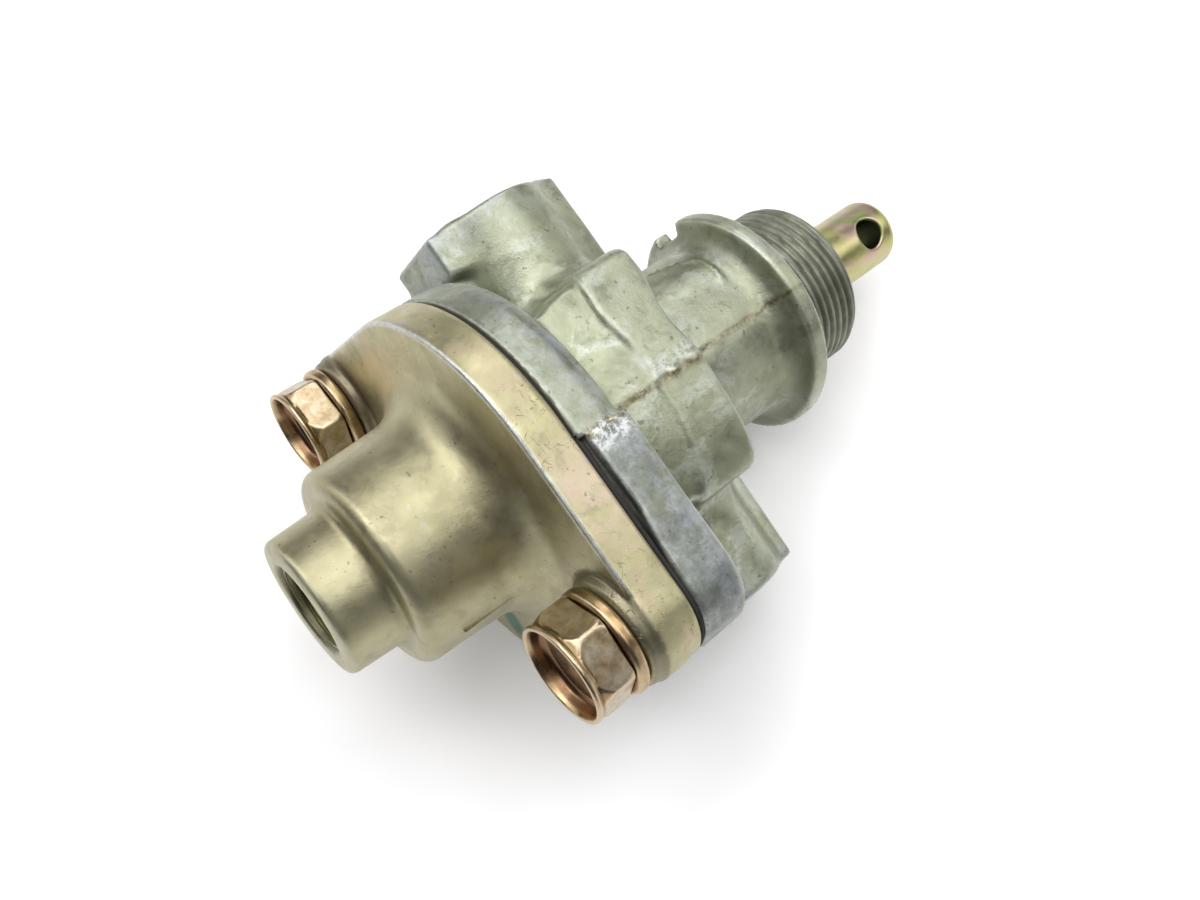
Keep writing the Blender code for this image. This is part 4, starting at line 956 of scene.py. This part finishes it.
def make_piston():
    """The rest of the plunger, inside the valve: piston, O-ring groove, rod and spindle."""
    rounding = [(7.6 + 0.3 * math.cos(turn), 66.0 - 0.3 * math.sin(turn))
                for turn in np.linspace(0, math.pi / 2, 5)]
    corners = [(5.55, 84.2), (5.55, 77.2), (7.3, 77.2), (7.9, 76.6), (7.9, 73.85), (5.9, 73.85),
               (5.9, 71.55), (7.9, 71.55), *rounding, (4.0, 65.7), (4.0, 45.1), (2.5, 45.1),
               (2.5, 17.1), (1.9, 16.5), (0.02, 16.5), (0.02, 84.2)]
    obj = as_mesh("plunger_piston", *revolved(corners, 96), STEM_ZINC)
    obj.data.set_sharp_from_angle(angle=math.radians(35))
    return obj


plunger = make_stem()
piston = make_piston()
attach(piston, "plunger")
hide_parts("plunger")
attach(plunger, "plunger")


# Return spring

def make_spring():
    """A round wire on a helix whose end turns lie nearly closed."""
    wire, radius, turns, ends = 0.6, 6.5, 5.0, 0.75
    count, sides = 200, 12
    rise = SPRING_LENGTH - 2 * wire
    closed = ends * 1.4
    turn = np.linspace(0, turns, count)
    height = np.interp(turn, (0, ends, turns - ends, turns), (0, closed, rise - closed, rise))
    angle = 2 * math.pi * turn
    around = np.arange(sides) * 2 * math.pi / sides
    reach = radius + wire * np.cos(around)[None, :]
    up = SPRING_FOOT_Z + wire + height[:, None] + wire * np.sin(around)[None, :]
    points = np.stack([reach * np.cos(angle)[:, None], reach * np.sin(angle)[:, None], up], axis=2)
    faces = []
    for row in range(count - 1):
        for side in range(sides):
            after = (side + 1) % sides
            a, b = row * sides, (row + 1) * sides
            faces.append((a + side, a + after, b + after, b + side))
    faces.append(tuple(range(sides))[::-1])
    faces.append(tuple((count - 1) * sides + side for side in range(sides)))
    return as_mesh("return_spring", points.reshape(-1, 3), faces, SPRING_STEEL)


spring = make_spring()
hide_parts("plunger_return_spring")
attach(spring, "housing")
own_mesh(spring)


# The CAD pieces inside keep their shapes and get their finishes

FINISHES = {
    RUBBER: ("stem_wiper_ring", "plunger_o_ring", "inlet_valve_disc", "exhaust_valve_disc"),
    ACETAL: ("plunger_guide_bush",),
    SPRING_STEEL: ("bush_retaining_ring", "spring_seat_washer", "inlet_valve_backing",
                   "valve_spacer_sleeve", "exhaust_valve_backing", "nut_washer",
                   "valve_lock_nut"),
}
for finish, nodes in FINISHES.items():
    for node in nodes:
        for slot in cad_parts[node].material_slots:
            slot.material = finish


# Floor, light and camera

def make_floor():
    mesh = bpy.data.meshes.new("floor")
    half = 3.0
    mesh.from_pydata([(-half, -half, 0), (half, -half, 0), (half, half, 0), (-half, half, 0)],
                     [], [(0, 1, 2, 3)])
    floor = bpy.data.objects.new("floor", mesh)
    bpy.context.scene.collection.objects.link(floor)
    material, _, main = shader("pale_floor", 0.0, 0.9)
    main.inputs["Base Color"].default_value = (0.93, 0.925, 0.935, 1.0)
    main.inputs["Emission Color"].default_value = (1.0, 0.99, 1.0, 1.0)
    main.inputs["Emission Strength"].default_value = 0.17
    mesh.materials.append(material)


def make_light(name, height, side, power):
    """A soft disc a metre from the valve, at a height and a compass angle in degrees."""
    data = bpy.data.lights.new(name, "AREA")
    data.shape = "DISK"
    data.size = 0.45
    data.energy = power
    light = bpy.data.objects.new(name, data)
    up, turn = math.radians(height), math.radians(side)
    way = Vector((math.cos(up) * math.cos(turn), math.cos(up) * math.sin(turn), math.sin(up)))
    light.location = Vector((0, 0, 0.025)) + way
    light.rotation_euler = (-way).to_track_quat("-Z", "Y").to_euler()
    bpy.context.scene.collection.objects.link(light)


def make_camera():
    """The camera that was fitted to the photograph's circles, in the valve's own frame."""
    right = np.array((0.572, -0.356, 0.739))
    down = np.array((0.820, 0.248, -0.516))
    forward = np.array((0.0, 0.901, 0.434))
    eye = -17.7 * (-2.046 * right + 1.129 * down + 7.324 * forward)
    columns = [TURN @ right, TURN @ -down, TURN @ -forward]
    turned = Matrix([list(c) for c in columns]).transposed()
    data = bpy.data.cameras.new("camera")
    data.sensor_width = 36.0
    data.lens = 31.5
    data.clip_start = 0.005
    camera = bpy.data.objects.new("camera", data)
    camera.location = to_world([eye])[0]
    camera.rotation_euler = turned.to_euler()
    bpy.context.scene.collection.objects.link(camera)
    bpy.context.scene.camera = camera


make_floor()
make_camera()

# Height and compass angle in degrees, power in watts
LIGHTS = [(90, 0, 1.8), (62, 0, 2.0), (62, 60, 1.3), (62, 120, 2.8), (62, 180, 1.1),
          (62, 300, 1.4), (36, 45, 1.8), (36, 112, 1.1), (36, 337, 1.4), (14, 120, 0.7),
          (14, 0, 0.6), (14, 300, 0.4)]
for index, (height, side, power) in enumerate(LIGHTS):
    make_light("soft_light_%d" % index, height, side, power)

world = bpy.data.worlds.new("studio")
world.use_nodes = True
background = world.node_tree.nodes["Background"]
background.inputs["Color"].default_value = (0.95, 0.96, 1.0, 1.0)
background.inputs["Strength"].default_value = 0.04
bpy.context.scene.world = world
bpy.context.scene.view_settings.view_transform = "Standard"
